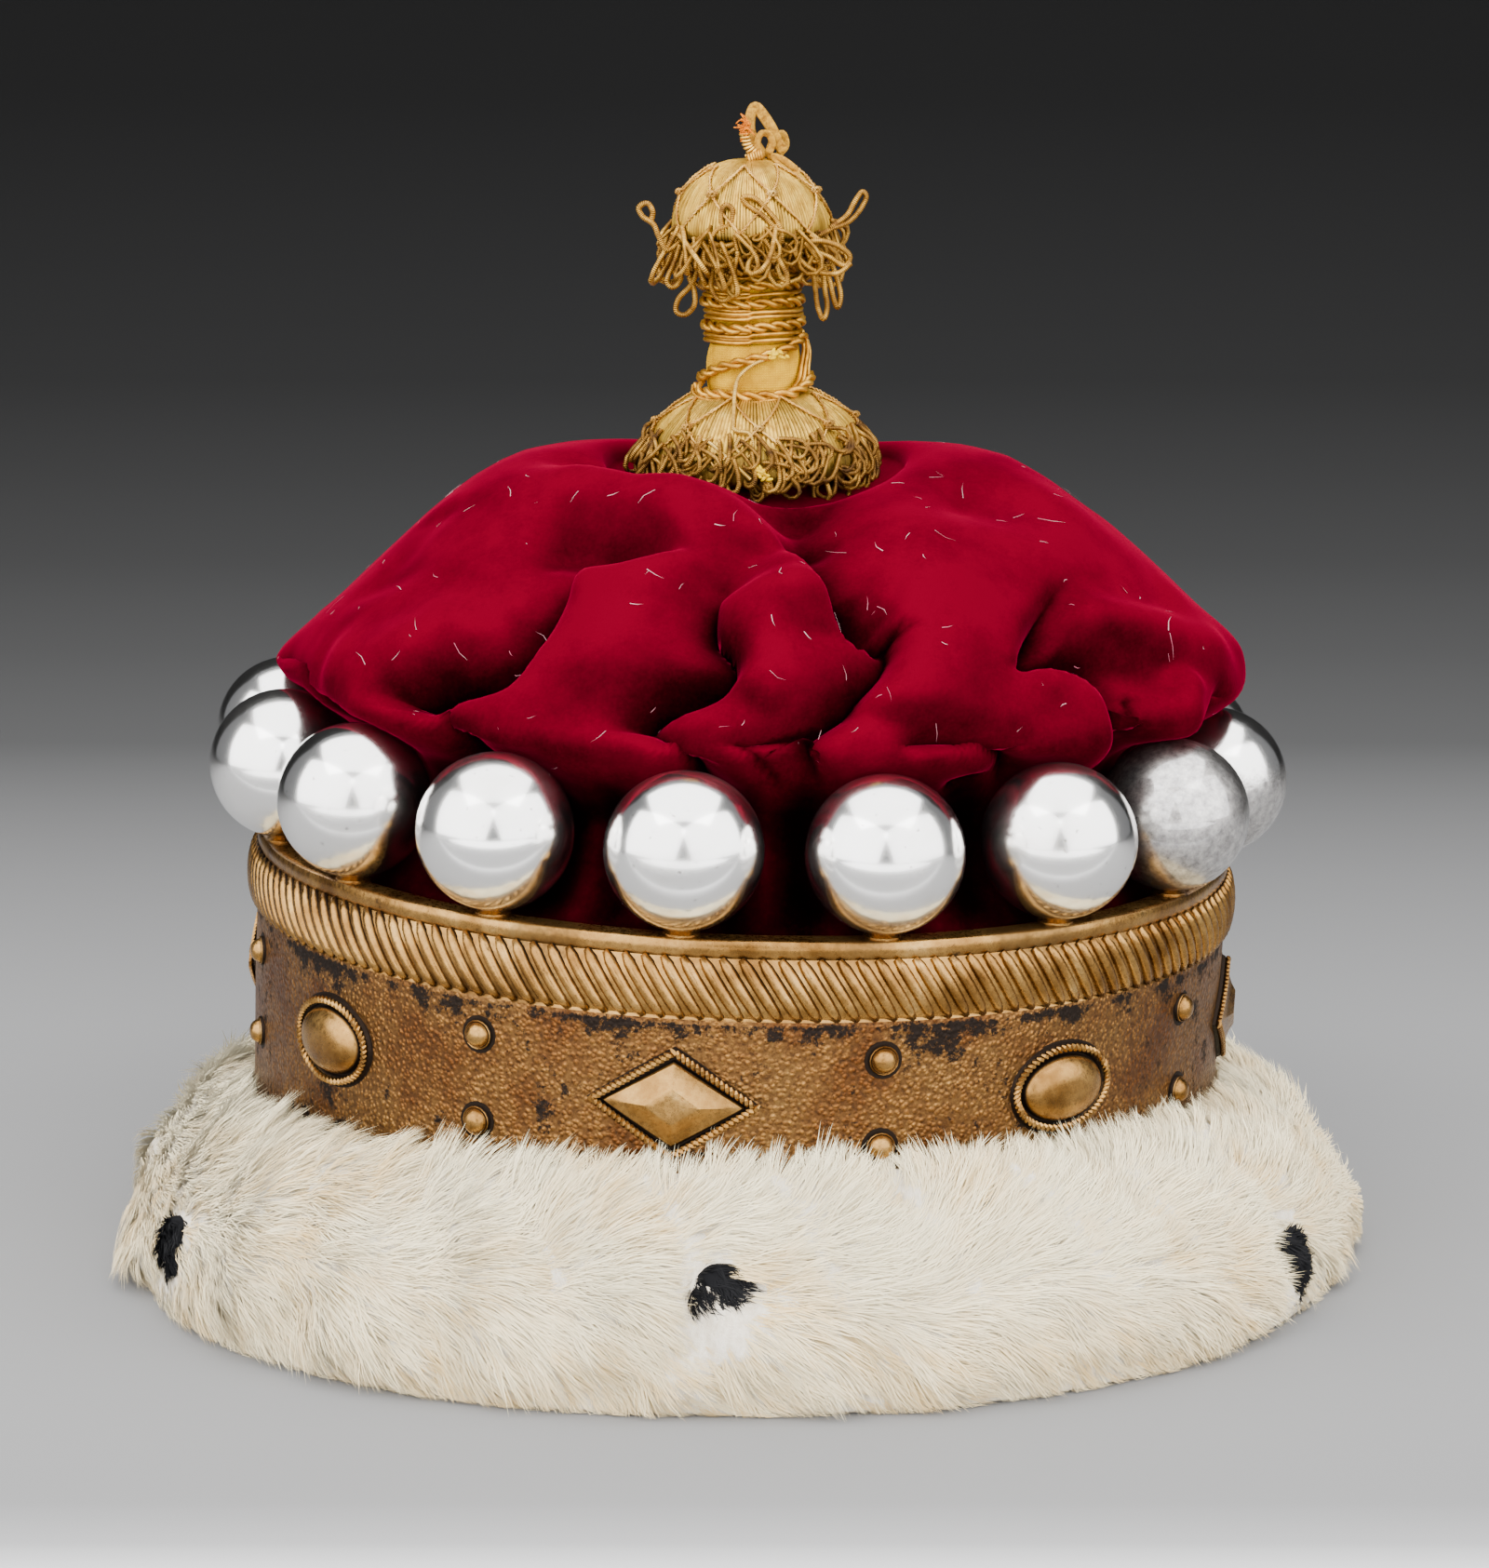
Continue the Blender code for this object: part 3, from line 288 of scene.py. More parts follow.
# Tassel, in mm in its own frame: radius and height down its sections
BASE_DOME = (
    (9.0, 17.3), (10.4, 17.0), (13.2, 15.7), (16.0, 13.8), (18.4, 11.6), (20.2, 9.2), (21.6, 6.6),
    (22.2, 4.0), (21.6, 1.6), (18.0, 0.6),
)
HEAD_DOME = (
    (1.2, 61.5), (4.0, 61.2), (7.4, 60.0), (10.6, 57.8), (13.0, 54.8), (14.6, 51.4), (15.2, 48.6),
    (14.6, 46.8), (11.0, 46.6),
)
NECK_SECTION = (
    (8.0, 16.0), (9.0, 17.4), (9.1, 20.5), (8.9, 24.5), (8.5, 26.6), (8.1, 27.4), (8.1, 47.0),
)
# Cord wound round the neck: its kind and height
WINDING_ROWS = (
    ("plain", 27.4), ("plain", 28.5), ("twisted", 30.1), ("plain", 31.8), ("plain", 32.9),
    ("twisted", 34.5), ("plain", 36.2), ("twisted", 37.8), ("plain", 39.5), ("plain", 40.5),
    ("twisted", 42.0), ("plain", 43.7),
)
# Turn so long that the two plies of a plain cord lie side by side
PLAIN_TURN = 400.0
# Cords laid round the neck: name, radius, length of a turn of the plies, then azimuth in degrees, height
# and distance out from the neck
NECK_CORDS = (
    ("diagonal", 1.12, 6.4, ((-100, 19.5, 1.2), (-72, 20.6, 1.0), (-40, 22.4, 1.0), (0, 24.0, 0.9),
        (40, 25.5, 0.9), (72, 27.0, 1.2), (92, 27.6, 1.6))),
    ("side_drop", 0.78, PLAIN_TURN, ((88, 27.2, 1.4), (78, 24.8, 1.4), (70, 22.0, 1.1), (62, 19.6, 1.2),
        (48, 18.0, 1.6))),
    ("side_drop_twin", 0.78, PLAIN_TURN, ((96, 26.4, 1.5), (88, 24.0, 1.5), (80, 21.6, 1.2),
        (72, 19.4, 1.4))),
    ("foot_turn", 1.12, 6.4, ((-78, 18.8, 2.0), (-62, 17.6, 2.3), (-35, 17.4, 2.0), (0, 17.0, 2.4),
        (35, 17.2, 2.4), (62, 18.4, 2.2), (84, 19.4, 1.8), (130, 19.6, 1.4), (180, 19.0, 1.4))),
    ("foot_turn_low", 0.72, PLAIN_TURN, ((-80, 18.4, 2.6), (-66, 16.8, 3.4), (-40, 16.2, 3.2),
        (-10, 16.0, 3.4), (22, 16.6, 3.0))),
    ("back_turn", 1.12, 6.4, ((180, 19.0, 1.4), (220, 19.8, 1.3), (250, 19.6, 1.2), (262, 19.4, 1.2))),
)
# The larger loops that stand out of the upper fringe
STRAY_LOOPS = (
    ((-13.5, -8.0, 46.5), (-16.0, -9.0, 45.0), (-17.5, -9.5, 47.5), (-18.5, -9.5, 50.0),
     (-20.5, -9.0, 51.5), (-21.2, -9.0, 53.2), (-19.6, -9.5, 54.0), (-18.6, -9.4, 52.4),
     (-19.0, -9.0, 50.4)),
    ((12.5, -9.0, 47.0), (15.5, -9.5, 48.5), (18.5, -9.0, 49.6), (20.6, -8.6, 51.6), (22.0, -8.4, 54.2),
     (21.2, -8.6, 55.2), (19.8, -8.8, 53.4), (18.2, -9.0, 50.8), (15.0, -9.6, 48.6)),
    ((10.5, -10.5, 45.0), (14.5, -12.0, 43.4), (17.5, -11.6, 41.6), (18.6, -11.0, 43.4),
     (16.0, -12.0, 45.6), (11.5, -12.0, 46.4), (8.8, -12.5, 44.0), (11.5, -12.6, 41.0),
     (16.0, -12.2, 40.2), (18.8, -11.4, 42.0)),
    ((-10.0, -9.5, 42.0), (-11.6, -10.0, 38.5), (-14.0, -10.2, 36.0), (-14.6, -10.2, 33.6),
     (-13.0, -10.2, 32.8), (-11.2, -10.2, 34.4), (-11.0, -10.0, 37.0), (-12.0, -9.8, 40.0)),
    ((-13.5, -9.0, 46.0), (-14.8, -9.2, 42.5), (-16.2, -9.4, 39.4), (-15.2, -9.2, 38.0),
     (-13.6, -9.4, 39.4), (-13.4, -9.6, 42.6), (-12.4, -9.8, 45.4)),
    ((11.5, -8.8, 41.0), (12.0, -9.4, 37.0), (12.4, -9.6, 33.6), (13.4, -9.6, 31.4), (14.2, -9.4, 33.6),
     (13.8, -9.0, 37.0), (13.6, -8.6, 40.6)),
    ((13.6, -8.0, 41.5), (14.8, -8.6, 38.4), (15.4, -8.8, 35.4), (16.2, -8.6, 33.4), (16.8, -8.4, 35.6),
     (16.2, -8.0, 38.8), (15.2, -7.6, 41.6)),
    ((-6.0, -12.0, 47.0), (-8.6, -13.2, 45.4), (-8.8, -13.6, 43.0), (-5.6, -14.0, 42.2),
     (-2.0, -14.2, 43.8), (1.6, -14.0, 45.0), (3.0, -14.2, 47.0), (0.0, -14.6, 47.8),
     (-4.5, -14.4, 46.0), (-7.6, -13.8, 46.8), (-6.4, -13.6, 49.0), (-4.0, -14.2, 50.0),
     (-3.4, -14.0, 52.6), (-4.8, -13.8, 53.6), (-5.6, -13.8, 51.6), (-5.2, -13.8, 48.4)),
    ((6.0, -13.0, 46.0), (4.6, -14.6, 49.0), (2.4, -14.8, 51.4), (-0.6, -14.0, 53.6),
     (-1.4, -13.8, 55.0), (0.8, -13.8, 54.8), (3.2, -14.0, 52.4), (5.2, -14.4, 49.8),
     (5.6, -14.2, 46.8), (3.4, -14.0, 44.6)),
    ((-7.4, -11.2, 41.4), (-7.8, -11.4, 38.2), (-6.4, -11.4, 35.6), (-4.6, -11.4, 35.8),
     (-3.8, -11.4, 38.0), (-5.0, -11.4, 40.4), (-6.6, -11.4, 39.4)),
    ((13.0, 6.0, 46.0), (16.6, 7.0, 45.0), (18.2, 7.6, 42.4), (16.6, 7.6, 40.4), (14.4, 7.0, 42.0),
     (13.4, 6.2, 44.4)),
    ((-12.6, 7.4, 46.0), (-16.0, 9.0, 45.4), (-18.0, 9.6, 43.0), (-16.4, 9.4, 40.6),
     (-13.8, 8.4, 42.0)),
    ((2.0, 14.0, 46.4), (3.4, 17.0, 44.6), (2.0, 18.4, 41.4), (-0.6, 17.4, 40.6), (-1.4, 15.2, 43.0)),
)
# Flat ribbon on top: half its thickness, and its loops
RIBBON_RADIUS = 0.20
RIBBONS = (
    ((3.0, -0.6, 61.6), (1.2, -1.1, 64.2), (0.2, -1.3, 67.0), (0.4, -1.2, 69.6), (1.3, -1.0, 71.2),
     (2.8, -1.1, 69.6), (4.4, -1.3, 67.0), (5.4, -1.2, 64.6), (6.6, -1.0, 62.6)),
    ((2.6, -1.4, 61.8), (1.6, -1.9, 64.2), (2.3, -2.1, 66.2), (3.8, -2.0, 66.0), (4.4, -1.8, 64.2),
     (3.6, -1.4, 62.4)),
    ((3.4, -1.0, 61.9), (5.6, -2.6, 61.6), (7.8, -4.2, 60.3), (9.0, -4.8, 58.9), (7.4, -5.2, 58.9),
     (6.0, -4.0, 60.2), (4.8, -2.2, 61.4)),
    ((3.4, 0.6, 61.8), (4.6, 0.9, 64.8), (6.4, 0.8, 66.0), (7.0, 0.6, 63.8), (5.6, 0.6, 62.0)),
)
# Coiled purl on top: its spine and its number of turns
PURL_ENDS = ((((2.2, -1.4, 61.8), (0.0, -1.4, 63.6), (-0.9, -1.3, 66.4)), 9),
             (((-0.4, -2.6, 61.4), (1.0, -2.4, 61.9), (2.4, -2.0, 62.3)), 6))
# Thin pale cord down the neck, its curl on the foot, and one along the foot's hem
PALE_CORDS = (
    ((2.6, -9.9, 24.2), (-0.6, -10.3, 22.8), (-3.0, -10.5, 20.6), (-3.8, -11.6, 17.6),
     (-4.0, -14.6, 14.8), (-4.2, -18.2, 11.9)),
    ((-4.2, -18.2, 11.9), (-3.4, -19.2, 11.4), (-1.2, -19.6, 11.0), (-0.4, -20.2, 8.6),
     (-1.6, -21.2, 6.6), (-3.8, -20.8, 8.4), (-3.0, -20.2, 10.4)),
    ((-11.0, -16.4, 9.6), (-9.0, -18.4, 9.4), (-5.8, -20.8, 7.0), (-3.0, -22.4, 4.4),
     (-1.0, -23.2, 2.6)),
)
# Bright yellow floss: middle and size
YELLOW_BITS = (((4.4, -10.4, 25.0), (1.7, 0.6, 1.1)), ((1.4, -23.4, 3.6), (1.3, 0.7, 1.2)))
# Areas in m2 of the strips that the two fringes grow on, and the upper fringe's share of the loops
FOOT_STRIP_AREA = 790e-6
HEAD_STRIP_AREA = 700e-6
HEAD_LOOP_SHARE = 0.62

# Camera: distance, height of its aim and shift to the side in mm, tilt, focal length in pixels of a
# picture 1685 pixels high
CAMERA_DISTANCE = 850.0
CAMERA_AIM = 90.1
CAMERA_SHIFT = -0.22
CAMERA_TILT = math.radians(11.5)
FOCAL_PIXELS = 4636.0
PICTURE_HEIGHT = 1685.0
SENSOR_WIDTH = 36.0
# Backdrop: share of its run, and grey; the greys are painted shade, the light's falloff darkening the
# paper away from the object
STAGE_GREYS = (
    (0.0, 0.85), (0.012, 0.3142), (0.02, 0.2262), (0.08, 0.2375), (0.155, 0.2099), (0.196, 0.1691),
    (0.308, 0.0585), (0.382, 0.0452), (0.481, 0.0345), (0.609, 0.0315), (0.787, 0.0296),
    (0.951, 0.0088), (1.0, 0.0063),
)
# Softboxes: place and aim in m, width and height in m, share of the key power
LIGHTS = (
    ("left_softbox", (-1.12, -0.98, 0.85), (0.0, 0.0, 0.10), (2.90, 1.75), 1.08),
    ("right_softbox", (1.12, -0.98, 0.85), (0.0, 0.0, 0.10), (2.90, 1.75), 1.02),
    ("top_softbox", (0.0, -0.10, 1.50), (0.0, 0.0, 0.10), (2.20, 1.90), 0.85),
    ("low_softbox", (0.0, -0.78, 0.02), (0.0, -0.70, 1.0), (2.2, 0.95), 0.38),
)


# Node trees

def add_node(tree, kind, inputs=None, **settings):
    """Add a node. An input is a value, a signal or another node's output socket."""
    node = tree.nodes.new(kind)
    for name, value in settings.items():
        setattr(node, name, value)
    for key, value in (inputs or {}).items():
        value = getattr(value, "socket", value)
        if isinstance(value, bpy.types.NodeSocket):
            tree.links.new(value, node.inputs[key])
        else:
            node.inputs[key].default_value = value
    return node


class Signal:
    """An output socket that can be reckoned with like a number."""

    def __init__(self, tree, socket):
        self.tree = tree
        self.socket = socket

    def math(self, operation, other=0.0, **settings):
        """The result of a Math node on this signal and another or a number."""
        inputs = {0: self, 1: other}
        node = add_node(self.tree, "ShaderNodeMath", inputs, operation=operation, **settings)
        return Signal(self.tree, node.outputs[0])

    def __add__(self, other):
        return self.math("ADD", other)

    def __mul__(self, other):
        return self.math("MULTIPLY", other)

    def __truediv__(self, other):
        return self.math("DIVIDE", other)

    def range(self, low, high, new_low=0.0, new_high=1.0):
        """The signal between two values, brought between two new ones."""
        inputs = {"Value": self, "From Min": low, "From Max": high, "To Min": new_low, "To Max": new_high}
        return Signal(self.tree, add_node(self.tree, "ShaderNodeMapRange", inputs).outputs[0])


class Finish:
    """A material in the making: its plain shader, and signals over the object's coordinates in metres."""

    def __init__(self, name, colour, **constants):
        self.material = bpy.data.materials.new(name)
        self.material.use_nodes = True
        self.material.diffuse_color = (*colour, 1.0)
        self.tree = self.material.node_tree
        self.shader = self.tree.nodes["Principled BSDF"]
        self.shader.inputs["Base Color"].default_value = (*colour, 1.0)
        for key, value in constants.items():
            self.shader.inputs[key.replace("_", " ")].default_value = value
        self.place = self.signal("ShaderNodeTexCoord", "Object")

    def signal(self, kind, output, inputs=None, **settings):
        """Add a node and take one of its outputs."""
        return Signal(self.tree, add_node(self.tree, kind, inputs, **settings).outputs[output])

    def noise(self, size, detail=3.0, roughness=0.55, stretch=None):
        """Noise whose lumps are about `size` mm across."""
        place = self.place
        if stretch:
            place = self.signal("ShaderNodeMapping", "Vector", {"Vector": place, "Scale": stretch})
        inputs = {"Vector": place, "Scale": 1 / MM / size, "Detail": detail, "Roughness": roughness}
        return self.signal("ShaderNodeTexNoise", "Fac", inputs)

    def attribute(self, name, output="Fac"):
        """An attribute of the mesh, as a number or a vector."""
        return self.signal("ShaderNodeAttribute", output, attribute_name=name)

    def ordinate(self, axis):
        """Place along one axis, in metres."""
        return self.signal("ShaderNodeSeparateXYZ", axis, {0: self.place})

    def ramp(self, factor, stops):
        """A colour ramp from a list of place and colour."""
        node = add_node(self.tree, "ShaderNodeValToRGB", {"Fac": factor})
        elements = node.color_ramp.elements
        elements.remove(elements[0])
        elements[0].position = stops[0][0]
        elements[0].color = (*stops[0][1], 1.0)
        for place, colour in stops[1:]:
            elements.new(place).color = (*colour, 1.0)
        return node.outputs["Color"]

    def mix(self, factor, first, second, blend="MIX"):
        """Mix two colours, each a socket or three values."""
        first, second = (value if isinstance(value, bpy.types.NodeSocket) else (*value, 1.0)
                         for value in (first, second))
        inputs = {0: factor, 6: first, 7: second}
        node = add_node(self.tree, "ShaderNodeMix", inputs, data_type="RGBA", blend_type=blend)
        return node.outputs[2]

    def bump(self, height, depth, strength=1.0, normal=None):
        """Bump from a height of 0 to 1, `depth` mm deep, over any bump before it."""
        inputs = {"Height": height, "Distance": depth * MM, "Strength": strength}
        if normal is not None:
            inputs["Normal"] = normal
        return self.signal("ShaderNodeBump", "Normal", inputs)

    def done(self, colour, roughness=None, normal=None):
        """Link what varies over the surface, and hand over the material."""
        for key, value in (("Base Color", colour), ("Roughness", roughness), ("Normal", normal)):
            if value is not None:
                self.tree.links.new(getattr(value, "socket", value), self.shader.inputs[key])
        return self.material


# Plain meshes

class Draft:
    """Points in mm, faces and a tone for each point, gathered until they become one mesh."""

    def __init__(self, unit=MM):
        self.unit = unit
        self.points = []
        self.faces = []
        self.tones = []
        self.count = 0

    def add(self, points, faces, tone=0.0):
        points = np.asarray(points, float).reshape(-1, 3)
        self.points.append(points)
        self.faces.extend(tuple(index + self.count for index in face) for face in faces)
        self.tones.append(np.broadcast_to(np.asarray(tone, float), (len(points),)))
        self.count += len(points)

    def grid(self, rows, closed=True, tone=0.0, flip=False, poles=(False, False)):
        """Add a grid of points, rows x columns x 3, closed round its columns."""
        rows = np.asarray(rows, float)
        height, width = rows.shape[:2]
        faces = []
        for row in range(height - 1):
            for column in range(width if closed else width - 1):
                following = (column + 1) % width
                face = (row * width + column, row * width + following,
                        (row + 1) * width + following, (row + 1) * width + column)
                faces.append(face[::-1] if flip else face)
        for pole, start in zip(poles, (0, (height - 1) * width)):
            if pole:
                ring = tuple(range(start, start + width))
                faces.append(ring if (start > 0) != flip else ring[::-1])
        self.add(rows, faces, tone)

    def tube(self, path, radius, sides=6, closed=False, tone=0.0, flat=1.0):
        """Add a tube along a path; its section is `flat` times as high as it is wide."""
        rings = tube_rings(path, radius, sides, closed, flat)
        if closed:
            self.add(rings, wrapped_faces(*rings.shape[:2]), tone)
        else:
            self.grid(rings, tone=tone, poles=(True, True))

    def to_piece(self, name, material=None, matrix=None, sharp=None):
        """Turn the draft, in mm, into an object at the origin with the matrix worked into its mesh."""
        mesh = bpy.data.meshes.new(name)
        mesh.from_pydata((np.concatenate(self.points) * self.unit).tolist(), [], self.faces)
        tone = mesh.attributes.new("tone", "FLOAT", "POINT")
        tone.data.foreach_set("value", np.concatenate(self.tones))
        if matrix is not None:
            mesh.transform(matrix)
        mesh.shade_smooth()
        if sharp is not None:
            mesh.set_sharp_from_angle(angle=math.radians(sharp))
        if material is not None:
            mesh.materials.append(material)
        return add_object(name, mesh)


def add_object(name, data):
    """A new object in the scene."""
    thing = bpy.data.objects.new(name, data)
    bpy.context.scene.collection.objects.link(thing)
    return thing


def wrapped_faces(height, width, flip=False):
    """Faces of a grid that closes both ways."""
    faces = []
    for row in range(height):
        for column in range(width):
            low, high = row * width, (row + 1) % height * width
            following = (column + 1) % width
            face = (low + column, low + following, high + following, high + column)
            faces.append((face[0], *face[:0:-1]) if flip else face)
    return faces


def tube_rings(path, radius, sides, closed=False, flat=1.0):
    """Rings of points round a path, carried along it with as little twist as possible."""
    path = np.asarray(path, float)
    if closed:
        along = np.roll(path, -1, axis=0) - np.roll(path, 1, axis=0)
    else:
        along = np.gradient(path, axis=0)
    along /= np.linalg.norm(along, axis=1)[:, None]
    side = np.cross(along[0], (0.0, 0.0, 1.0))
    if np.linalg.norm(side) < 0.2:
        side = np.cross(along[0], (1.0, 0.0, 0.0))
    across = []
    for direction in along:
        side = side - direction * side.dot(direction)
        side = side / np.linalg.norm(side)
        across.append(side)
    across = np.array(across)
    over = np.cross(along, across)
    radius = np.broadcast_to(np.asarray(radius, float), (len(path),))
    angles = np.arange(sides) * TURN / sides
    ring = (np.cos(angles)[None, :, None] * across[:, None, :]
            + flat * np.sin(angles)[None, :, None] * over[:, None, :])
    return path[:, None, :] + radius[:, None, None] * ring


def polar(radius, azimuth, height):
    """Points at azimuths counted from the front, -Y, towards +X."""
    radius, azimuth, height = np.broadcast_arrays(radius, azimuth, height)
    return np.stack([radius * np.sin(azimuth), -radius * np.cos(azimuth), height], axis=-1)


def signed_turn(angle):
    """An angle brought between minus and plus half a turn."""
    return (angle + math.pi) % TURN - math.pi


def smooth_step(low, high, value):
    """Smooth run from 0 at `low` to 1 at `high`."""
    share = np.clip((value - low) / (high - low), 0.0, 1.0)
    return share * share * (3.0 - 2.0 * share)


def between(value, low, full, less, high):
    """1 from `full` to `less`, fading to 0 at `low` and `high`."""
    return smooth_step(low, full, value) * (1.0 - smooth_step(less, high, value))


def catmull_rom(before, start, end, after, share):
    """Values between a start and an end, on a smooth line through all four."""
    return 0.5 * (2 * start + (end - before) * share
                  + (2 * before - 5 * start + 4 * end - after) * share ** 2
                  + (3 * start - before - 3 * end + after) * share ** 3)


def smooth_path(points, steps):
    """Catmull-Rom line through points, `steps` to each leg."""
    points = np.asarray(points, float)
    padded = np.concatenate([2 * points[:1] - points[1:2], points, 2 * points[-1:] - points[-2:-1]])
    share = (np.arange(steps) / steps)[:, None]
    legs = [catmull_rom(*four, share) for four in zip(padded, padded[1:], padded[2:], padded[3:])]
    return np.concatenate(legs + [points[-1:]])


def run_along(path):
    """Length of a path from its start to each of its points."""
    return np.concatenate([[0.0], np.cumsum(np.linalg.norm(np.diff(path, axis=0), axis=1))])


def out_from(rings, path):
    """How much farther from the Z axis each point of a tube is than the middle of its ring."""
    return np.hypot(rings[..., 0], rings[..., 1]) - np.hypot(path[:, 0], path[:, 1])[:, None]


def ripple(points, size, seed, waves=7):
    """Soft random swell of about -1 to 1 over points in mm, with lumps of about `size` mm."""
    chance = np.random.default_rng(seed)
    total = np.zeros(points.shape[:-1])
    for _ in range(waves):
        direction = chance.normal(size=3)
        direction *= TURN / (size * chance.uniform(0.75, 1.5)) / np.linalg.norm(direction)
        total += np.sin(points @ direction + chance.uniform(0, TURN))
    return total / math.sqrt(waves)


def ride(piece, slot, *nodes):
    """Hang a finished piece on the body and hide the nodes that it stands for; `slot`, its material slot,
    is not used.
    """
    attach(piece, "root")
    if nodes:
        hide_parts(*nodes)
    return piece


def join_pieces(name, pieces):
    """Join meshes that already lie in place into one object."""
    with bpy.context.temp_override(active_object=pieces[0], selected_editable_objects=pieces):
        bpy.ops.object.join()
    pieces[0].name = name
    return pieces[0]


# Geometry Nodes

# Shapes in each collection that a growth tree picks from
SHAPE_COUNT = 10
# Distance and radius of a cord's plies, as a share of the cord's radius
PLY_SHARE = 0.52


def new_geometry_tree(name, sockets):
    """A geometry tree with its named inputs; returns the tree, its input node and input identifiers."""
    tree = bpy.data.node_groups.new(name, "GeometryNodeTree")
    tree.interface.new_socket("Geometry", in_out="OUTPUT", socket_type="NodeSocketGeometry")
    tree.interface.new_socket("Geometry", in_out="INPUT", socket_type="NodeSocketGeometry")
    keys = {}
    for label, kind, default in sockets:
        socket = tree.interface.new_socket(label, in_out="INPUT", socket_type=kind)
        if default is not None:
            socket.default_value = default
        keys[label] = socket.identifier
    start = tree.nodes.new("NodeGroupInput")
    return tree, start, keys


def end_geometry_tree(tree, geometry, material):
    """End a tree in Realize Instances and Set Material."""
    real = add_node(tree, "GeometryNodeRealizeInstances", {"Geometry": geometry})
    inputs = {"Geometry": real.outputs[0], "Material": material}
    dressed = add_node(tree, "GeometryNodeSetMaterial", inputs)
    end = tree.nodes.new("NodeGroupOutput")
    tree.links.new(dressed.outputs[0], end.inputs[0])


def run_tree(thing, tree, keys, values, name):
    """Evaluate a tree on an object and return the result as a plain object; the first is removed."""
    modifier = thing.modifiers.new(tree.name, "NODES")
    modifier.node_group = tree
    for label, value in values.items():
        modifier[keys[label]] = value
    bpy.context.view_layer.update()
    evaluated = thing.evaluated_get(bpy.context.evaluated_depsgraph_get())
    mesh = bpy.data.meshes.new_from_object(evaluated)
    mesh.name = name
    thing.modifiers.remove(modifier)
    bpy.data.objects.remove(thing, do_unlink=True)
    return add_object(name, mesh)


def ring_tree():
    """Copies of a piece, modelled in its place, turned round the Z axis."""
    sockets = (("Count", "NodeSocketInt", BALL_COUNT), ("First angle", "NodeSocketFloat", 0.0),
               ("Pitch", "NodeSocketFloat", PITCH), ("Material", "NodeSocketMaterial", None))
    tree, start, keys = new_geometry_tree("ring of copies", sockets)
    points = add_node(tree, "GeometryNodePoints", {"Count": start.outputs["Count"]})
    index = Signal(tree, add_node(tree, "GeometryNodeInputIndex").outputs[0])
    turn = index * start.outputs["Pitch"] + start.outputs["First angle"]
    rotation = add_node(tree, "ShaderNodeCombineXYZ", {"Z": turn})
    inputs = {"Points": points.outputs[0], "Instance": start.outputs["Geometry"],
              "Rotation": rotation.outputs[0]}
    copies = add_node(tree, "GeometryNodeInstanceOnPoints", inputs)
    end_geometry_tree(tree, copies.outputs[0], start.outputs["Material"])
    return tree, keys


def cord_tree():
    """A cord of two plies twisted round a path."""
    sockets = (("Ply distance", "NodeSocketFloat", 0.5 * MM), ("Ply radius", "NodeSocketFloat", 0.5 * MM),
               ("Turn length", "NodeSocketFloat", 5 * MM), ("Step", "NodeSocketFloat", 0.7 * MM),
               ("Sides", "NodeSocketInt", 6), ("Material", "NodeSocketMaterial", None))
    tree, start, keys = new_geometry_tree("twisted cord", sockets)
    inputs = {"Curve": start.outputs["Geometry"], "Length": start.outputs["Step"]}
    path = add_node(tree, "GeometryNodeResampleCurve", inputs, mode="LENGTH").outputs[0]
    length = Signal(tree, add_node(tree, "GeometryNodeSplineParameter").outputs["Length"])
    across = add_node(tree, "GeometryNodeInputNormal").outputs[0]
    along = add_node(tree, "GeometryNodeInputTangent").outputs[0]
    over = add_node(tree, "ShaderNodeVectorMath", {0: along, 1: across}, operation="CROSS_PRODUCT")
    angle = length / start.outputs["Turn length"] * TURN
    inputs = {"Resolution": start.outputs["Sides"], "Radius": start.outputs["Ply radius"]}
    section = add_node(tree, "GeometryNodeCurvePrimitiveCircle", inputs).outputs[0]
    join = add_node(tree, "GeometryNodeJoinGeometry")
    for phase in (0.0, math.pi):
        parts = []
        for direction, wave in ((across, "COSINE"), (over.outputs[0], "SINE")):
            amount = (angle + phase).math(wave) * start.outputs["Ply distance"]
            inputs = {0: direction, "Scale": amount}
            parts.append(add_node(tree, "ShaderNodeVectorMath", inputs, operation="SCALE").outputs[0])
        offset = add_node(tree, "ShaderNodeVectorMath", {0: parts[0], 1: parts[1]}, operation="ADD")
        moved = add_node(tree, "GeometryNodeSetPosition", {"Geometry": path, "Offset": offset.outputs[0]})
        inputs = {"Curve": moved.outputs[0], "Profile Curve": section, "Fill Caps": True}
        ply = add_node(tree, "GeometryNodeCurveToMesh", inputs)
        tree.links.new(ply.outputs[0], join.inputs[0])
    end_geometry_tree(tree, join.outputs[0], start.outputs["Material"])
    return tree, keys


def add_random(tree, low, high, seed):
    """A random number for each instance."""
    inputs = {2: low, 3: high, "Seed": seed}
    return Signal(tree, add_node(tree, "FunctionNodeRandomValue", inputs, data_type="FLOAT").outputs[1])


def add_named(tree, name, data_type="FLOAT"):
    """A named attribute of the surface."""
    node = add_node(tree, "GeometryNodeInputNamedAttribute", {"Name": name}, data_type=data_type)
    return Signal(tree, node.outputs[0])


def store_named(tree, geometry, name, value, data_type="FLOAT"):
    """Store an attribute on instances, which passes to the points that they become."""
    inputs = {"Geometry": geometry, "Name": name, "Value": value}
    return add_node(tree, "GeometryNodeStoreNamedAttribute", inputs, data_type=data_type,
                    domain="INSTANCE").outputs[0]


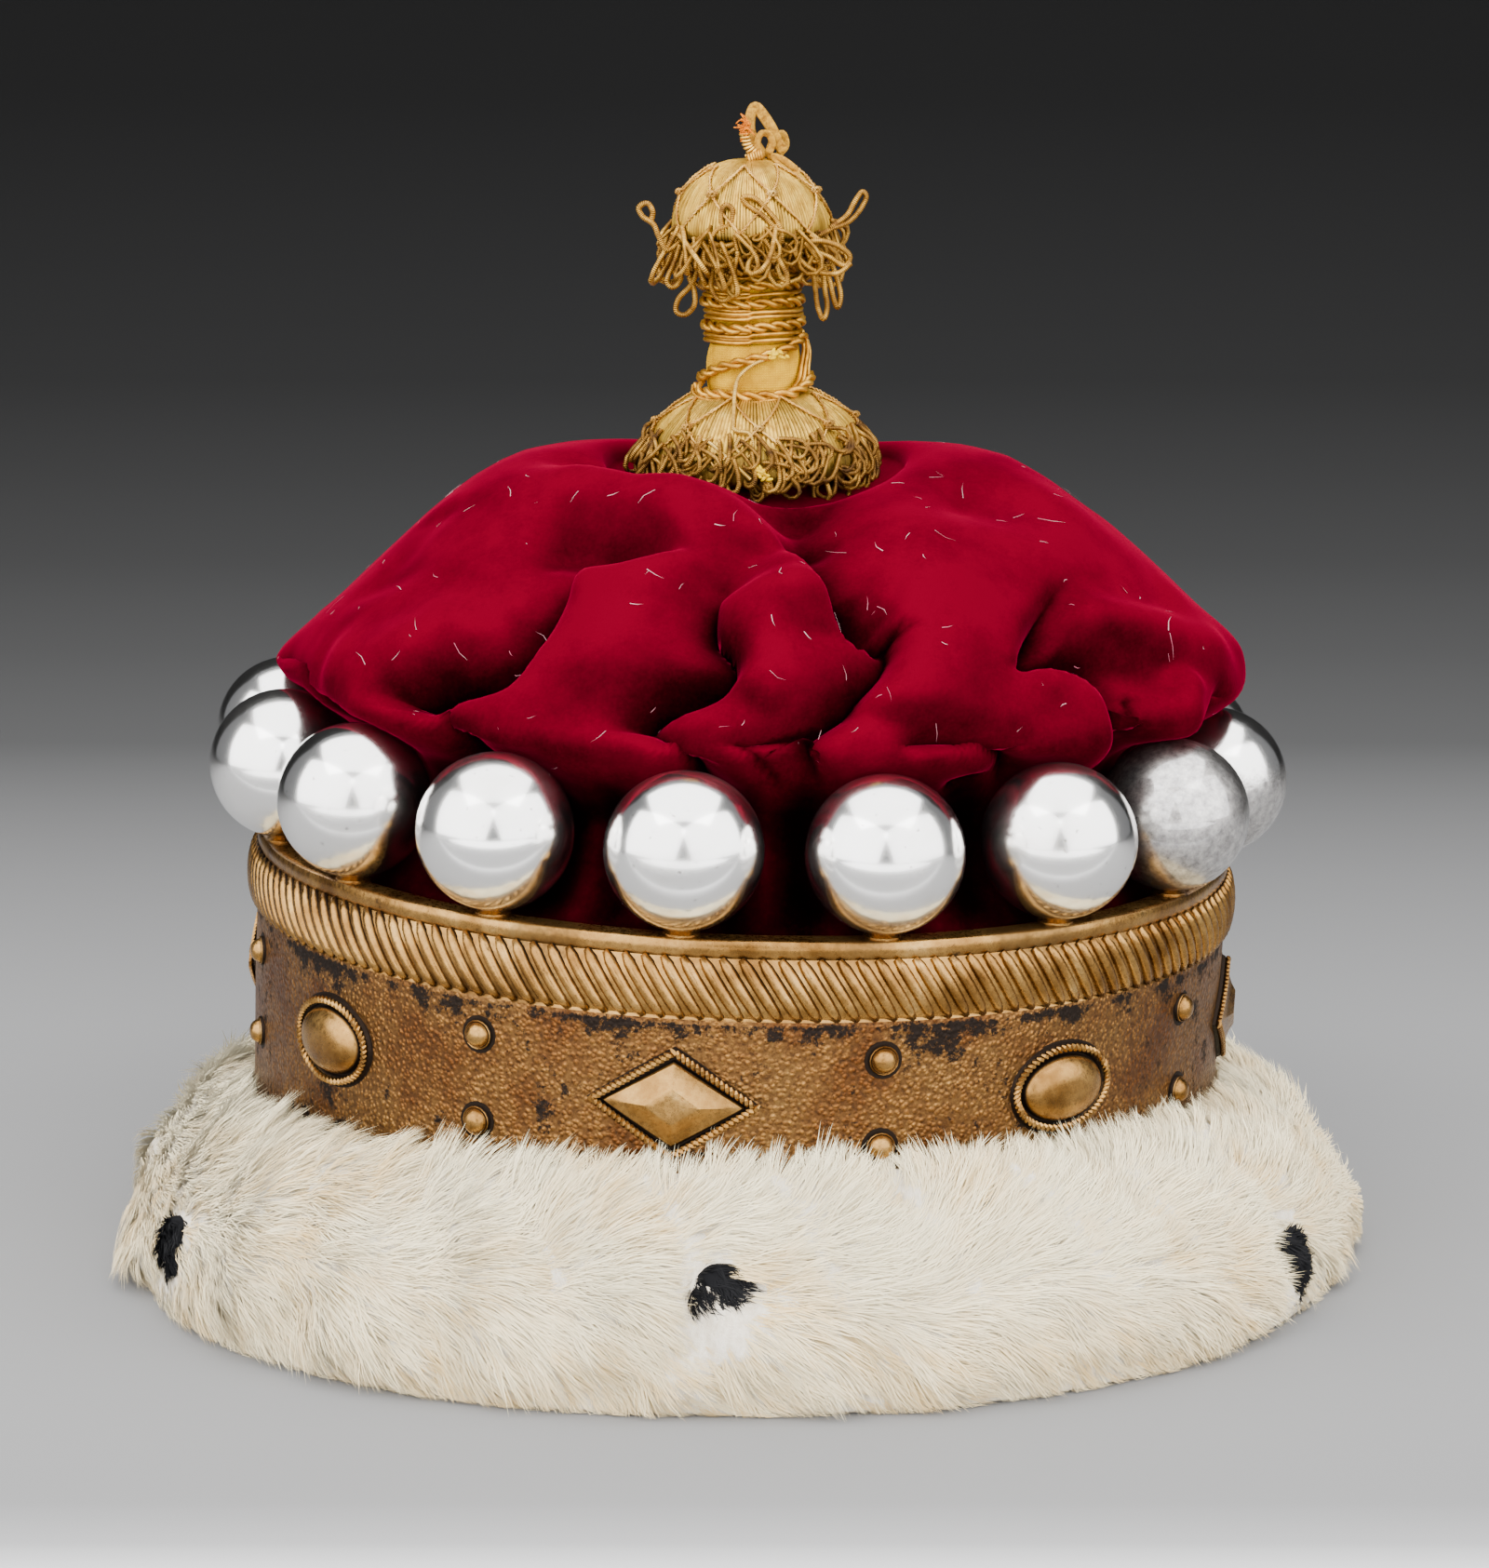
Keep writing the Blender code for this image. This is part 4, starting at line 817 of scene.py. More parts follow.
def growth_tree():
    """Shapes of a collection grown on a surface, combed along its `comb` attribute."""
    sockets = (("Shapes", "NodeSocketCollection", None), ("Density", "NodeSocketFloat", 1.0e5),
               ("Seed", "NodeSocketInt", 0), ("Turn", "NodeSocketFloat", 0.4),
               ("Smallest", "NodeSocketFloat", 0.8), ("Largest", "NodeSocketFloat", 1.2),
               ("Material", "NodeSocketMaterial", None))
    tree, start, keys = new_geometry_tree("growth on a surface", sockets)
    density = add_named(tree, "thick") * start.outputs["Density"]
    inputs = {"Mesh": start.outputs["Geometry"], "Density": density, "Seed": start.outputs["Seed"]}
    scatter = add_node(tree, "GeometryNodeDistributePointsOnFaces", inputs)
    normal = scatter.outputs["Normal"]

    inputs = {"Primary Axis": normal, "Secondary Axis": add_named(tree, "comb", "FLOAT_VECTOR")}
    face = add_node(tree, "FunctionNodeAxesToRotation", inputs, primary_axis="Z", secondary_axis="X")
    most = Signal(tree, start.outputs["Turn"])
    wander = add_random(tree, most * -1.0, most, 3)
    inputs = {"Axis": (0.0, 0.0, 1.0), "Angle": wander}
    turn = add_node(tree, "FunctionNodeAxisAngleToRotation", inputs)
    inputs = {"Rotation": face.outputs[0], "Rotate By": turn.outputs[0]}
    rotation = add_node(tree, "FunctionNodeRotateRotation", inputs, rotation_space="LOCAL")
    size = add_random(tree, start.outputs["Smallest"], start.outputs["Largest"], 5)
    size = size * add_named(tree, "length")

    inputs = {"Collection": start.outputs["Shapes"], "Separate Children": True, "Reset Children": True}
    shapes = add_node(tree, "GeometryNodeCollectionInfo", inputs)
    inputs = {4: 0, 5: SHAPE_COUNT - 1, "Seed": 7}
    pick = add_node(tree, "FunctionNodeRandomValue", inputs, data_type="INT")
    inputs = {"Points": scatter.outputs["Points"], "Instance": shapes.outputs[0], "Pick Instance": True,
              "Instance Index": pick.outputs[2], "Rotation": rotation.outputs[0], "Scale": size}
    grown = add_node(tree, "GeometryNodeInstanceOnPoints", inputs).outputs[0]
    grown = store_named(tree, grown, "shade", add_random(tree, 0.0, 1.0, 11))
    grown = store_named(tree, grown, "facing", normal, "FLOAT_VECTOR")
    end_geometry_tree(tree, grown, start.outputs["Material"])
    return tree, keys


TREES = {}


def tree_for(name, maker):
    """The tree of that name, made when it is first asked for."""
    if name not in TREES:
        TREES[name] = maker()
    return TREES[name]


def ring_of_copies(draft, name, count, first, pitch, material, sharp=None):
    """Turn a draft, modelled at the front, into a ring of copies of it in the crown's frame."""
    tree, keys = tree_for("ring", ring_tree)
    pattern = draft.to_piece(name + "_pattern", sharp=sharp)
    values = {"Count": count, "First angle": first, "Pitch": pitch, "Material": material}
    piece = run_tree(pattern, tree, keys, values, name)
    piece.data.transform(CROWN)
    return piece


def cord_along(path, name, material, radius, twist, step, sides=6, closed=False):
    """A cord in mm along a path in mm: two plies that turn once round each other in `twist` mm."""
    curve = bpy.data.curves.new(name + "_path", "CURVE")
    curve.dimensions = "3D"
    spline = curve.splines.new("POLY")
    path = np.asarray(path, float) * MM
    spline.points.add(len(path) - 1)
    spline.points.foreach_set("co", np.concatenate([path, np.ones((len(path), 1))], axis=1).ravel())
    spline.use_cyclic_u = closed
    tree, keys = tree_for("cord", cord_tree)
    ply = radius * PLY_SHARE * MM
    values = {"Ply distance": ply, "Ply radius": ply, "Turn length": twist * MM, "Step": step * MM,
              "Sides": sides, "Material": material}
    return run_tree(add_object(name + "_path", curve), tree, keys, values, name)


# Finishes

def gilt_band_finish(settings):
    """Stamped ground of the band: brown gold, pebbled, with blue-black tarnish flaking off it, more of it
    in the painted shade under the rope.
    """
    finish = Finish("gilt_band", settings.gilt, Metallic=0.9)
    inputs = {"Vector": finish.place, "Scale": 1 / MM / 0.95}
    pebble = finish.signal("ShaderNodeTexVoronoi", "Distance", inputs).range(0.10, 0.62)
    fine = finish.noise(0.9, 4.0, 0.7)
    gold = finish.ramp(fine, ((0.30, (0.060, 0.022, 0.005)), (0.46, (0.22, 0.100, 0.024)),
                              (0.60, (0.35, 0.175, 0.045)), (0.78, (0.58, 0.33, 0.09))))
    brown = finish.ramp(finish.noise(17.0, 4.0, 0.6), (
        (0.36, (0.62, 0.44, 0.34)), (0.50, (1.0, 0.92, 0.86)), (0.66, (1.0, 1.0, 1.0))))
    gold = finish.mix(1.0, gold, brown, "MULTIPLY")
    gold = finish.mix(pebble * 0.55, gold, (0.055, 0.030, 0.014))
    # The band's `tone` adds its painted shade under the rope to the tarnish, which turns the gold
    # near-black
    flake_and_shade = finish.noise(9.0, 7.0, 0.78) + finish.attribute("tone") * 0.15
    flake_and_shade = flake_and_shade + finish.noise(1.1, 4.0, 0.8) * 0.26
    tarnish = flake_and_shade.range(0.735, 0.785) * settings.tarnish
    rough = fine.range(0.3, 0.75, 0.50, 0.30) + tarnish * 0.25
    normal = finish.bump(pebble * -1.0 + 1.0, 0.22, 0.75)
    normal = finish.bump(fine, 0.12, 0.6, normal)
    normal = finish.bump(tarnish, 0.06, 0.6, normal)
    return finish.done(finish.mix(tarnish, gold, (0.018, 0.012, 0.009)), rough, normal)


def gilt_relief_finish(settings):
    """Burnished gold of the lip, the rope, the bosses and the studs, dark in the grooves."""
    finish = Finish("gilt_relief", settings.gilt, Metallic=0.95)
    fine = finish.noise(1.0, 5.0, 0.7)
    gold = finish.ramp(finish.noise(9.0, 4.0, 0.6), (
        (0.32, (0.17, 0.076, 0.015)), (0.47, (0.34, 0.175, 0.044)), (0.62, (0.49, 0.275, 0.078)),
        (0.75, (0.66, 0.42, 0.15))))
    gold = finish.mix(fine.range(0.35, 0.7, 0.45, 0.0), gold, (0.15, 0.070, 0.020))
    groove = (finish.attribute("tone") + fine * 0.5).range(0.62, 0.98)
    stain = finish.noise(7.0, 6.0, 0.75).range(0.63, 0.69, 0.0, 0.75)
    groove = groove.math("MAXIMUM", stain * settings.tarnish)
    rough = fine.range(0.3, 0.75, 0.20, 0.38) + groove * 0.3
    normal = finish.bump(fine, 0.09, 0.5)
    normal = finish.bump(finish.noise(4.0, 2.0), 0.25, 0.35, normal)
    return finish.done(finish.mix(groove, gold, (0.020, 0.013, 0.009)), rough, normal)


def silver_finish(settings, name="bright_silver", tarnished=False, low_only=False):
    """Mirror silver with faint smudges, or the same gone matt and mottled grey."""
    finish = Finish(name, settings.silver, Metallic=1.0, Coat_Weight=1.0, Coat_IOR=2.1,
                    Coat_Roughness=0.03)
    smudge = finish.noise(13.0, 4.0, 0.6)
    fine = finish.noise(1.6, 5.0, 0.7)
    rough = smudge.range(0.42, 0.75, 0.17, 0.25)
    colour = finish.ramp(smudge, (
        (0.35, (1.0, 0.99, 0.965)), (0.60, (0.97, 0.95, 0.915)), (0.75, (0.85, 0.82, 0.77))))
    pits = finish.noise(1.1, 2.0, 0.5).range(0.70, 0.74)
    colour = finish.mix(pits * 0.6, colour, (0.18, 0.15, 0.12))
    normal = finish.bump(finish.noise(22.0, 2.0), 0.5, 0.10)
    if tarnished:
        cover = smudge.range(0.30, 0.46, 0.55, 1.0)
        if low_only:
            edge = finish.ordinate("Z") + fine.range(0.3, 0.7, -2.0 * MM, 2.0 * MM)
            cover = cover * edge.range(94.0 * MM, 98.0 * MM, 1.0, 0.0)
        mottle = finish.ramp(fine, (
            (0.30, (0.20, 0.185, 0.18)), (0.47, (0.40, 0.375, 0.36)), (0.62, (0.60, 0.57, 0.54)),
            (0.75, (0.74, 0.71, 0.68))))
        colour = finish.mix(cover, colour, mottle)
        rough = rough + cover * 0.16
        normal = finish.bump(fine, 0.05, 0.5, normal)
    return finish.done(colour, rough, normal)


def velvet_finish(settings):
    """Deep crimson pile with painted light and shade: `tone` runs from -0.8, a painted highlight where it
    catches the light, to 1, painted shade in the creases.
    """
    finish = Finish("crimson_velvet", settings.velvet, Roughness=0.85, Sheen_Weight=settings.pile,
                    Sheen_Roughness=0.30, Sheen_Tint=(*settings.sheen, 1.0), Specular_IOR_Level=0.0)
    crushed = finish.noise(13.0, 4.0, 0.6).range(0.3, 0.7, -0.28, 0.28)
    brushed = finish.noise(42.0, 2.0, 0.5).range(0.3, 0.7, -0.16, 0.16)
    pile = finish.noise(0.7, 3.0, 0.7)
    # The cap's `tone` brings painted highlight and painted shade, with random crush of the pile over it
    tone = finish.attribute("tone") + (crushed + brushed) + pile.range(0.3, 0.7, 0.10, -0.10)
    stops = [(at, [value * share for value in settings.velvet]) for at, share in VELVET_STOPS]
    return finish.done(finish.ramp(tone.range(-0.8, 1.0), stops), normal=finish.bump(pile, 0.2, 0.25))


def lint_finish():
    """Pale pink lint in a broken colour."""
    finish = Finish("lint", (0.75, 0.62, 0.62), Roughness=0.8)
    stops = ((0.4, (0.34, 0.06, 0.10)), (0.58, (0.52, 0.30, 0.31)))
    return finish.done(finish.ramp(finish.noise(8.0), stops))


def hair_finish(name, root, tip, warm=None, **constants):
    """Hair, lighter at its tip and shaded as one soft surface; `warm` comes in drifts and low down."""
    finish = Finish(name, tip, Roughness=0.7, Specular_IOR_Level=0.12, **constants)
    colour = finish.mix(finish.attribute("tone").range(0.0, 0.8), root, tip)
    if warm:
        drift = finish.noise(24.0, 3.0, 0.6).range(0.43, 0.64)
        low = finish.ordinate("Z").range(4.0 * MM, 24.0 * MM, 0.65, 0.0)
        share = drift.math("ADD", low, use_clamp=True)
        share = share * finish.attribute("shade").range(0.3, 1.0, 0.2, 0.9)
        colour = finish.mix(share, colour, warm)
    return finish.done(colour, normal=finish.attribute("facing", "Vector"))


def pelt_finish(settings):
    """The skin and dense under-fur below the hair, and the lining cloth inside the ring."""
    finish = Finish("white_pelt", settings.root, Roughness=0.9)
    drift = finish.noise(2.2, 5.0, 0.75, (1.0, 1.0, 0.5))
    colour = finish.ramp(drift, (
        (0.3, (0.62, 0.52, 0.38)), (0.55, (0.84, 0.76, 0.62)), (0.7, (0.92, 0.86, 0.75))))
    lining = finish.ramp(finish.noise(0.8, 2.0), ((0.4, (0.50, 0.42, 0.31)), (0.6, (0.62, 0.54, 0.42))))
    colour = finish.mix(finish.attribute("tone"), colour, lining)
    return finish.done(colour, normal=finish.bump(drift, 0.8, 0.8))


def metal_thread_finish(name, dark, middle, light, rib=0.34):
    """Gold thread wound round a core: `tone` is the length along it in mm, so its turns are ribs."""
    finish = Finish(name, middle, Metallic=0.75)
    broad = finish.noise(4.0, 4.0, 0.65)
    colour = finish.ramp(broad, ((0.34, dark), (0.52, middle), (0.70, light)))
    ribs = (finish.attribute("tone") * (TURN / rib)).math("SINE").range(-1.0, 1.0)
    grooves = ribs.range(0.0, 0.6, 0.55, 0.0)
    colour = finish.mix(grooves, colour, tuple(value * 0.35 for value in dark))
    return finish.done(colour, broad.range(0.3, 0.7, 0.46, 0.30), finish.bump(ribs, 0.12, 0.8))


def dome_finish():
    """Pale gold threads laid down a dome; `tone` marks the gaps between them and the painted shade below
    the fringe.
    """
    finish = Finish("dome_thread", (0.78, 0.58, 0.26), Metallic=0.75, Specular_IOR_Level=0.3)
    streak = finish.noise(1.4, 4.0, 0.7, (1.0, 1.0, 0.18))
    colour = finish.ramp(streak, (
        (0.30, (0.32, 0.150, 0.009)), (0.48, (0.76, 0.43, 0.045)), (0.64, (0.98, 0.62, 0.085)),
        (0.78, (1.0, 0.78, 0.18))))
    colour = finish.mix(finish.noise(6.0, 3.0).range(0.42, 0.62, 0.0, 0.45), colour, (0.48, 0.26, 0.030))
    # Near-black in the gaps between threads and in the painted shade below the fringe
    colour = finish.mix(finish.attribute("tone"), colour, (0.020, 0.009, 0.002))
    return finish.done(colour, streak.range(0.3, 0.75, 0.48, 0.32), finish.bump(streak, 0.12, 0.6))


def cloth_finish(name, dark, light, weave=0.45):
    """Plain woven cloth with a fine crossed weave."""
    finish = Finish(name, light, Roughness=0.85, Specular_IOR_Level=0.15)
    warp, weft = ((finish.ordinate(axis) * (1 / MM * TURN / weave)).math("SINE").range(-1.0, 1.0)
                  for axis in "XZ")
    threads = warp * weft
    colour = finish.ramp(finish.noise(5.0, 4.0), ((0.35, dark), (0.62, light)))
    colour = finish.mix(threads.range(0.0, 0.5, 0.4, 0.0), colour, dark)
    return finish.done(colour, normal=finish.bump(threads, 0.12, 0.7))


def soft_finish(name, dark, light):
    """Loose fluff or a smooth bit of thread, in a broken colour."""
    finish = Finish(name, light, Roughness=0.8, Specular_IOR_Level=0.2)
    broken = finish.noise(0.9, 4.0, 0.7)
    colour = finish.ramp(broken, ((0.35, dark), (0.62, light)))
    return finish.done(colour, normal=finish.bump(broken, 0.2, 0.5))


# Circlet and balls

def add_band(draft):
    """The turned band, a little uneven, with `tone` as painted shade and tarnish under its rope, a
    darkening towards the fur, and random patches of tarnish.
    """
    azimuth = np.arange(360) * TURN / 360
    section = np.array(BAND_SECTION)
    points = polar(section[:, :1], azimuth[None, :], section[:, 1:])
    uneven = ripple(points, 34.0, 2) * 0.10 + ripple(points, 12.0, 3) * 0.04
    outward = points * (1.0, 1.0, 0.0) / section[:, :1, None]
    points = points + outward * uneven[..., None]
    height = points[..., 2]
    # Painted shade with tarnish under the overhanging rope, darker towards the fur, and random patches of
    # tarnish
    under_rope = smooth_step(4.6, 0.4, np.abs(height - BAND_TOP)) * (height < BAND_TOP + 0.9)
    over_fur = 0.55 * smooth_step(8.0, 0.0, height - FUR_LINE)
    patches = 0.5 * smooth_step(-0.2, 1.0, ripple(points, 26.0, 5))
    shade_and_tarnish = np.maximum(np.maximum(under_rope, over_fur), patches)
    tone = np.concatenate([shade_and_tarnish, shade_and_tarnish[:1]]).ravel()
    draft.grid(np.concatenate([points, points[:1]]), tone=tone, flip=True)


def split_band(piece, relief):
    """Give the lip, the bed of the rope and the inside the burnished finish."""
    piece.data.materials.append(relief)
    for face in piece.data.polygons:
        centre = CROWN.inverted() @ face.center
        radius = math.hypot(centre.x, centre.y) / MM
        if centre.z / MM > ROPE_SPAN[0] or radius < BAND_INSIDE:
            face.material_index = 1


def on_band(across, height, relief):
    """A point in mm bent round the band at the front: across it, up it and out from it."""
    across, height, relief = np.broadcast_arrays(np.asarray(across, float), height, relief)
    return polar(BAND_RADIUS + relief, across / BAND_RADIUS, height)


def rope_strand():
    """One oblique strand of the rope moulding, dark where it meets the next."""
    way = np.linspace(-1.0, 1.0, 8)
    middle = sum(ROPE_SPAN) / 2
    path = on_band(3.6 * way, middle - 5.5 * way, ROPE_BULGE * np.cos(way * 1.15) - 0.75)
    radius = 1.42 * (1.0 - 0.45 * way ** 6)
    rings = tube_rings(path, radius, 7, flat=0.82)
    groove = 1.0 - smooth_step(-0.1, 0.75, out_from(rings, path))
    draft = Draft()
    draft.grid(rings, tone=groove.ravel(), poles=(True, True))
    return draft


def outline_points(kind, count):
    """Unit outline of a medallion, as points across and up."""
    if kind == "oval":
        angle = np.arange(count) * TURN / count
        return np.stack([np.cos(angle), np.sin(angle)], axis=-1)
    corners = np.array(((1.0, 0.0), (0.0, 1.0), (-1.0, 0.0), (0.0, -1.0)))
    share = (np.arange(count // 4) / (count // 4))[:, None]
    ends = np.roll(corners, -1, axis=0)
    points = np.concatenate([start * (1 - share) + end * share for start, end in zip(corners, ends)])
    return points + 0.04 * (np.roll(points, 1, axis=0) + np.roll(points, -1, axis=0) - 2 * points)


def add_boss(draft, outline, half, rings, middle, tones):
    """A domed or faceted boss: a ring of points for each row of its section, closed on top."""
    rows = []
    for width, height, relief in rings:
        across = outline[:, 0] * half[0] * width
        rows.append(on_band(across, middle + outline[:, 1] * half[1] * height, relief))
    draft.grid(np.array(rows), tone=np.repeat(np.asarray(tones), len(outline)), poles=(True, True))


def medallion(kind):
    """A medallion with its dark moat, its fine rope frame and its boss."""
    if kind == "lozenge":
        size, section, margin, strands = LOZENGE_SIZE, LOZENGE_BOSS, 1.25, 68
    else:
        size, section, margin, strands = OVAL_SIZE, OVAL_BOSS, 1.0, 58
    half = np.array(size) / 2
    draft = Draft()
    outline = outline_points(kind, 48)
    past, up, relief, tones = np.array(MEDALLION_BED).T
    bed = [*zip(1.0 + past / half[0], 1.0 + up / half[1], relief), (0.5, 0.5, 0.25)]
    add_boss(draft, outline, half, bed, ORNAMENT_HEIGHT, [*tones, 1.0])
    inner = half - np.array((2.5, 2.25)) * margin
    tones = (1.0, 0.9, 0.15) + (0.0,) * (len(section) - 3)
    add_boss(draft, outline, inner, section, ORNAMENT_HEIGHT, tones)
    ring = outline_points(kind, strands) * half * (1.0 - FRAME_INSET / half)
    neighbours = zip(ring, np.roll(ring, 1, axis=0), np.roll(ring, -1, axis=0))
    for place, before, after in neighbours:
        along = (after - before) / np.linalg.norm(after - before)
        out = np.array((along[1], -along[0]))
        way = np.array((-1.0, -0.35, 0.35, 1.0))[:, None]
        path = place + way * (0.62 * along + 0.62 * out)
        path = on_band(path[:, 0], ORNAMENT_HEIGHT + path[:, 1], 0.95 + 0.42 * np.cos(way[:, 0] * 1.3))
        rings = tube_rings(path, np.array((0.22, 0.52, 0.52, 0.22)), 5)
        groove = 0.75 * (1.0 - smooth_step(-0.1, 0.35, out_from(rings, path)))
        draft.grid(rings, tone=groove.ravel(), poles=(True, True))
    return draft


def stud_pair():
    """Two studs, one over the other, each in its dark moat."""
    draft = Draft()
    outline = outline_points("oval", 16)
    half = (STUD_RADIUS, STUD_RADIUS)
    for height in STUD_HEIGHTS:
        moat = ((1.28, 1.28, -0.3), (1.26, 1.26, 0.07), (0.9, 0.9, 0.10))
        add_boss(draft, outline, half, moat, height, (1.0, 1.0, 1.0))
        add_boss(draft, outline, half, STUD_BOSS, height, (1.0, 0.85, 0.25, 0.8, 0.3, 0.0, 0.0, 0.0))
    return draft


def ball_post():
    """The short post that holds a ball on the lip."""
    draft = Draft()
    section = ((1.6, 80.4), (3.4, 81.1), (3.4, 81.6), (2.6, 81.9), (2.2, 82.6), (2.0, 83.6))
    azimuth = np.arange(10) * TURN / 10
    rows = [polar(radius, azimuth, height) + (0.0, -BALL_RING, 0.0) for radius, height in section]
    draft.grid(np.array(rows), tone=0.3, poles=(True, True))
    return draft


def make_circlet(settings):
    """The band with its rings of rope strands, medallions, studs and posts, as one piece."""
    band_gilt = gilt_band_finish(settings)
    relief_gilt = gilt_relief_finish(settings)
    draft = Draft()
    add_band(draft)
    band = draft.to_piece("band", band_gilt, CROWN, sharp=50)
    split_band(band, relief_gilt)
    pieces = [band]
    pitch = TURN / settings.rope_strands
    rings = (("rope", rope_strand(), settings.rope_strands, 0.0, pitch, None),
             ("lozenges", medallion("lozenge"), 4, FIRST_BALL, 4 * PITCH, 26),
             ("ovals", medallion("oval"), 4, FIRST_BALL + 2 * PITCH, 4 * PITCH, 40),
             ("studs", stud_pair(), 8, FIRST_BALL + PITCH, 2 * PITCH, 40),
             ("posts", ball_post(), BALL_COUNT, FIRST_BALL, PITCH, 40))
    for name, pattern, count, first, step, sharp in rings:
        pieces.append(ring_of_copies(pattern, name, count, first, step, relief_gilt, sharp))
    circlet = join_pieces("gilt_circlet", pieces)
    return ride(circlet, "silver_gilt", "circlet")


def ball_centre(index):
    """Middle of a ball in mm."""
    return polar(BALL_RING, FIRST_BALL + index * PITCH, BALL_HEIGHT)


def make_balls(settings):
    """The balls, one of them matt with its seam and two matt below."""
    bright = silver_finish(settings)
    matt = silver_finish(settings, "tarnished_silver", tarnished=True)
    half_matt = silver_finish(settings, "half_tarnished_silver", tarnished=True, low_only=True)
    finishes = {SEAMED_BALL: matt, 4: half_matt, 10: half_matt}
    columns, rows, pole = 48, 24, 0.012
    polar_angle = np.linspace(pole, math.pi - pole, rows + 1)[:, None]
    azimuth = np.arange(columns)[None, :] * TURN / columns
    sphere = np.stack([np.sin(polar_angle) * np.cos(azimuth), np.sin(polar_angle) * np.sin(azimuth),
                       np.cos(polar_angle) * np.ones_like(azimuth)], axis=-1)
    for index in range(BALL_COUNT):
        radius = np.full(sphere.shape[:2], BALL_RADIUS)
        if index == SEAMED_BALL:
            seam = signed_turn(azimuth - 1.5 * math.pi - FIRST_BALL - index * PITCH)
            radius += 0.12 * np.exp(-(seam / 0.05) ** 2)
        draft = Draft()
        draft.grid(sphere * radius[..., None] + ball_centre(index), flip=True, poles=(True, True))
        ball = draft.to_piece(f"silver_ball_{index + 1:02d}", finishes.get(index, bright), CROWN)
        ride(ball, "silver", f"ball_{index + 1:02d}")


# Velvet cap

def cap_base(azimuth, share):
    """Radius and height in mm of the smooth cap, its four meridians blended round the head."""
    rows = np.array(CAP_STATIONS)
    index = np.clip(np.searchsorted(rows[:, 0], share, side="right") - 1, 0, len(rows) - 2)
    local = ((share - rows[index, 0]) / (rows[index + 1, 0] - rows[index, 0]))[..., None]
    four = (rows[np.clip(index + step, 0, len(rows) - 1), 1:] for step in (-1, 0, 1, 2))
    values = catmull_rom(*four, local)
    waves = (-np.sin(azimuth), np.cos(azimuth), np.sin(azimuth), -np.cos(azimuth))
    weights = np.stack([np.maximum(0.0, wave) ** 2 for wave in waves], axis=-1)
    return (weights * values[..., 0::2]).sum(-1), (weights * values[..., 1::2]).sum(-1)


def fold_gap(azimuth, share, radius, path):
    """From each point of the cap to a path: gap and distance in mm, the path's leg there, way along."""
    line = smooth_path(path, 6)
    middle = math.radians(line[:, 0].mean())
    turn = (np.radians(line[:, 0]) - middle)[:, None, None] - signed_turn(azimuth - middle)[None]
    fall = (line[:, 1][:, None, None] - share[None]) * CAP_MERIDIAN
    flat = np.stack([turn * radius[None], fall], axis=-1)
    start, along = flat[:-1], flat[1:] - flat[:-1]
    length = np.maximum((along ** 2).sum(-1), 1e-9)
    way = np.clip(-(start * along).sum(-1) / length, 0.0, 1.0)
    gap = start + along * way[..., None]
    distance = np.sqrt((gap ** 2).sum(-1))
    nearest = distance.argmin(0)[None]
    far = np.take_along_axis(distance, nearest, 0)[0]
    gap = np.take_along_axis(gap, nearest[..., None], 0)[0]
    leg = np.take_along_axis(along, nearest[..., None], 0)[0]
    return gap, far, leg, (nearest[0] + np.take_along_axis(way, nearest, 0)[0]) / (len(line) - 1)


def fold_shift(azimuth, share, radius):
    """Rise along the normal, slides round the head and down it in mm, and `depth`, the painted shade in
    the creases.
    """
    rise, crease, slide_round, slide_down, depth = (np.zeros_like(radius) for _ in range(5))
    for _, half_width, height, overhang, (fade_in, fade_out), path in CAP_FOLDS:
        gap, far, leg, travelled = fold_gap(azimuth, share, radius, path)
        taper = smooth_step(-0.001, fade_in, travelled) * smooth_step(1.001, 1.0 - fade_out, travelled)
        near = far / half_width
        if not overhang:
            rise += taper * height * np.exp(-near ** 2)
            continue
        across = (leg[..., 0] * gap[..., 1] - leg[..., 1] * gap[..., 0]) * math.copysign(1.0, overhang)
        across = across / np.maximum(np.linalg.norm(leg, axis=-1), 0.01) / half_width
        # The lip rolls over steeply on its own side, and the other side falls away slowly
        lip = smooth_step(-0.25, 0.25, across)
        profile = lip * np.exp(-(near / 0.5) ** 1.5) + (1.0 - lip) * np.exp(-(near / 1.5) ** 1.4)
        dip = taper * height * profile
        deepest = dip < crease
        crease = np.minimum(crease, dip)
        slide = taper * 0.22 * abs(overhang) * lip * near / 0.7 * np.exp(1.0 - near / 0.7)
        slide_round = np.where(deepest, slide * gap[..., 0] / np.maximum(far, 0.3), slide_round)
        slide_down = np.where(deepest, slide * gap[..., 1] / np.maximum(far, 0.3), slide_down)
        # Painted shade along each crease: narrow on the lip's side, broad on the open side, stronger for
        # deeper folds
        open_side = 0.6 * np.exp(-(near / 0.42) ** 2) + 0.32 * np.exp(-(near / 1.3) ** 1.6)
        dark = lip * np.exp(-(near / 0.26) ** 2) + (1.0 - lip) * open_side
        depth = np.maximum(depth, taper * dark * min(1.0, -height / 8.0))
    rise += crease
    fade = between(share, *CAP_FADE)
    return rise * fade, slide_round * fade, slide_down * fade, depth * fade


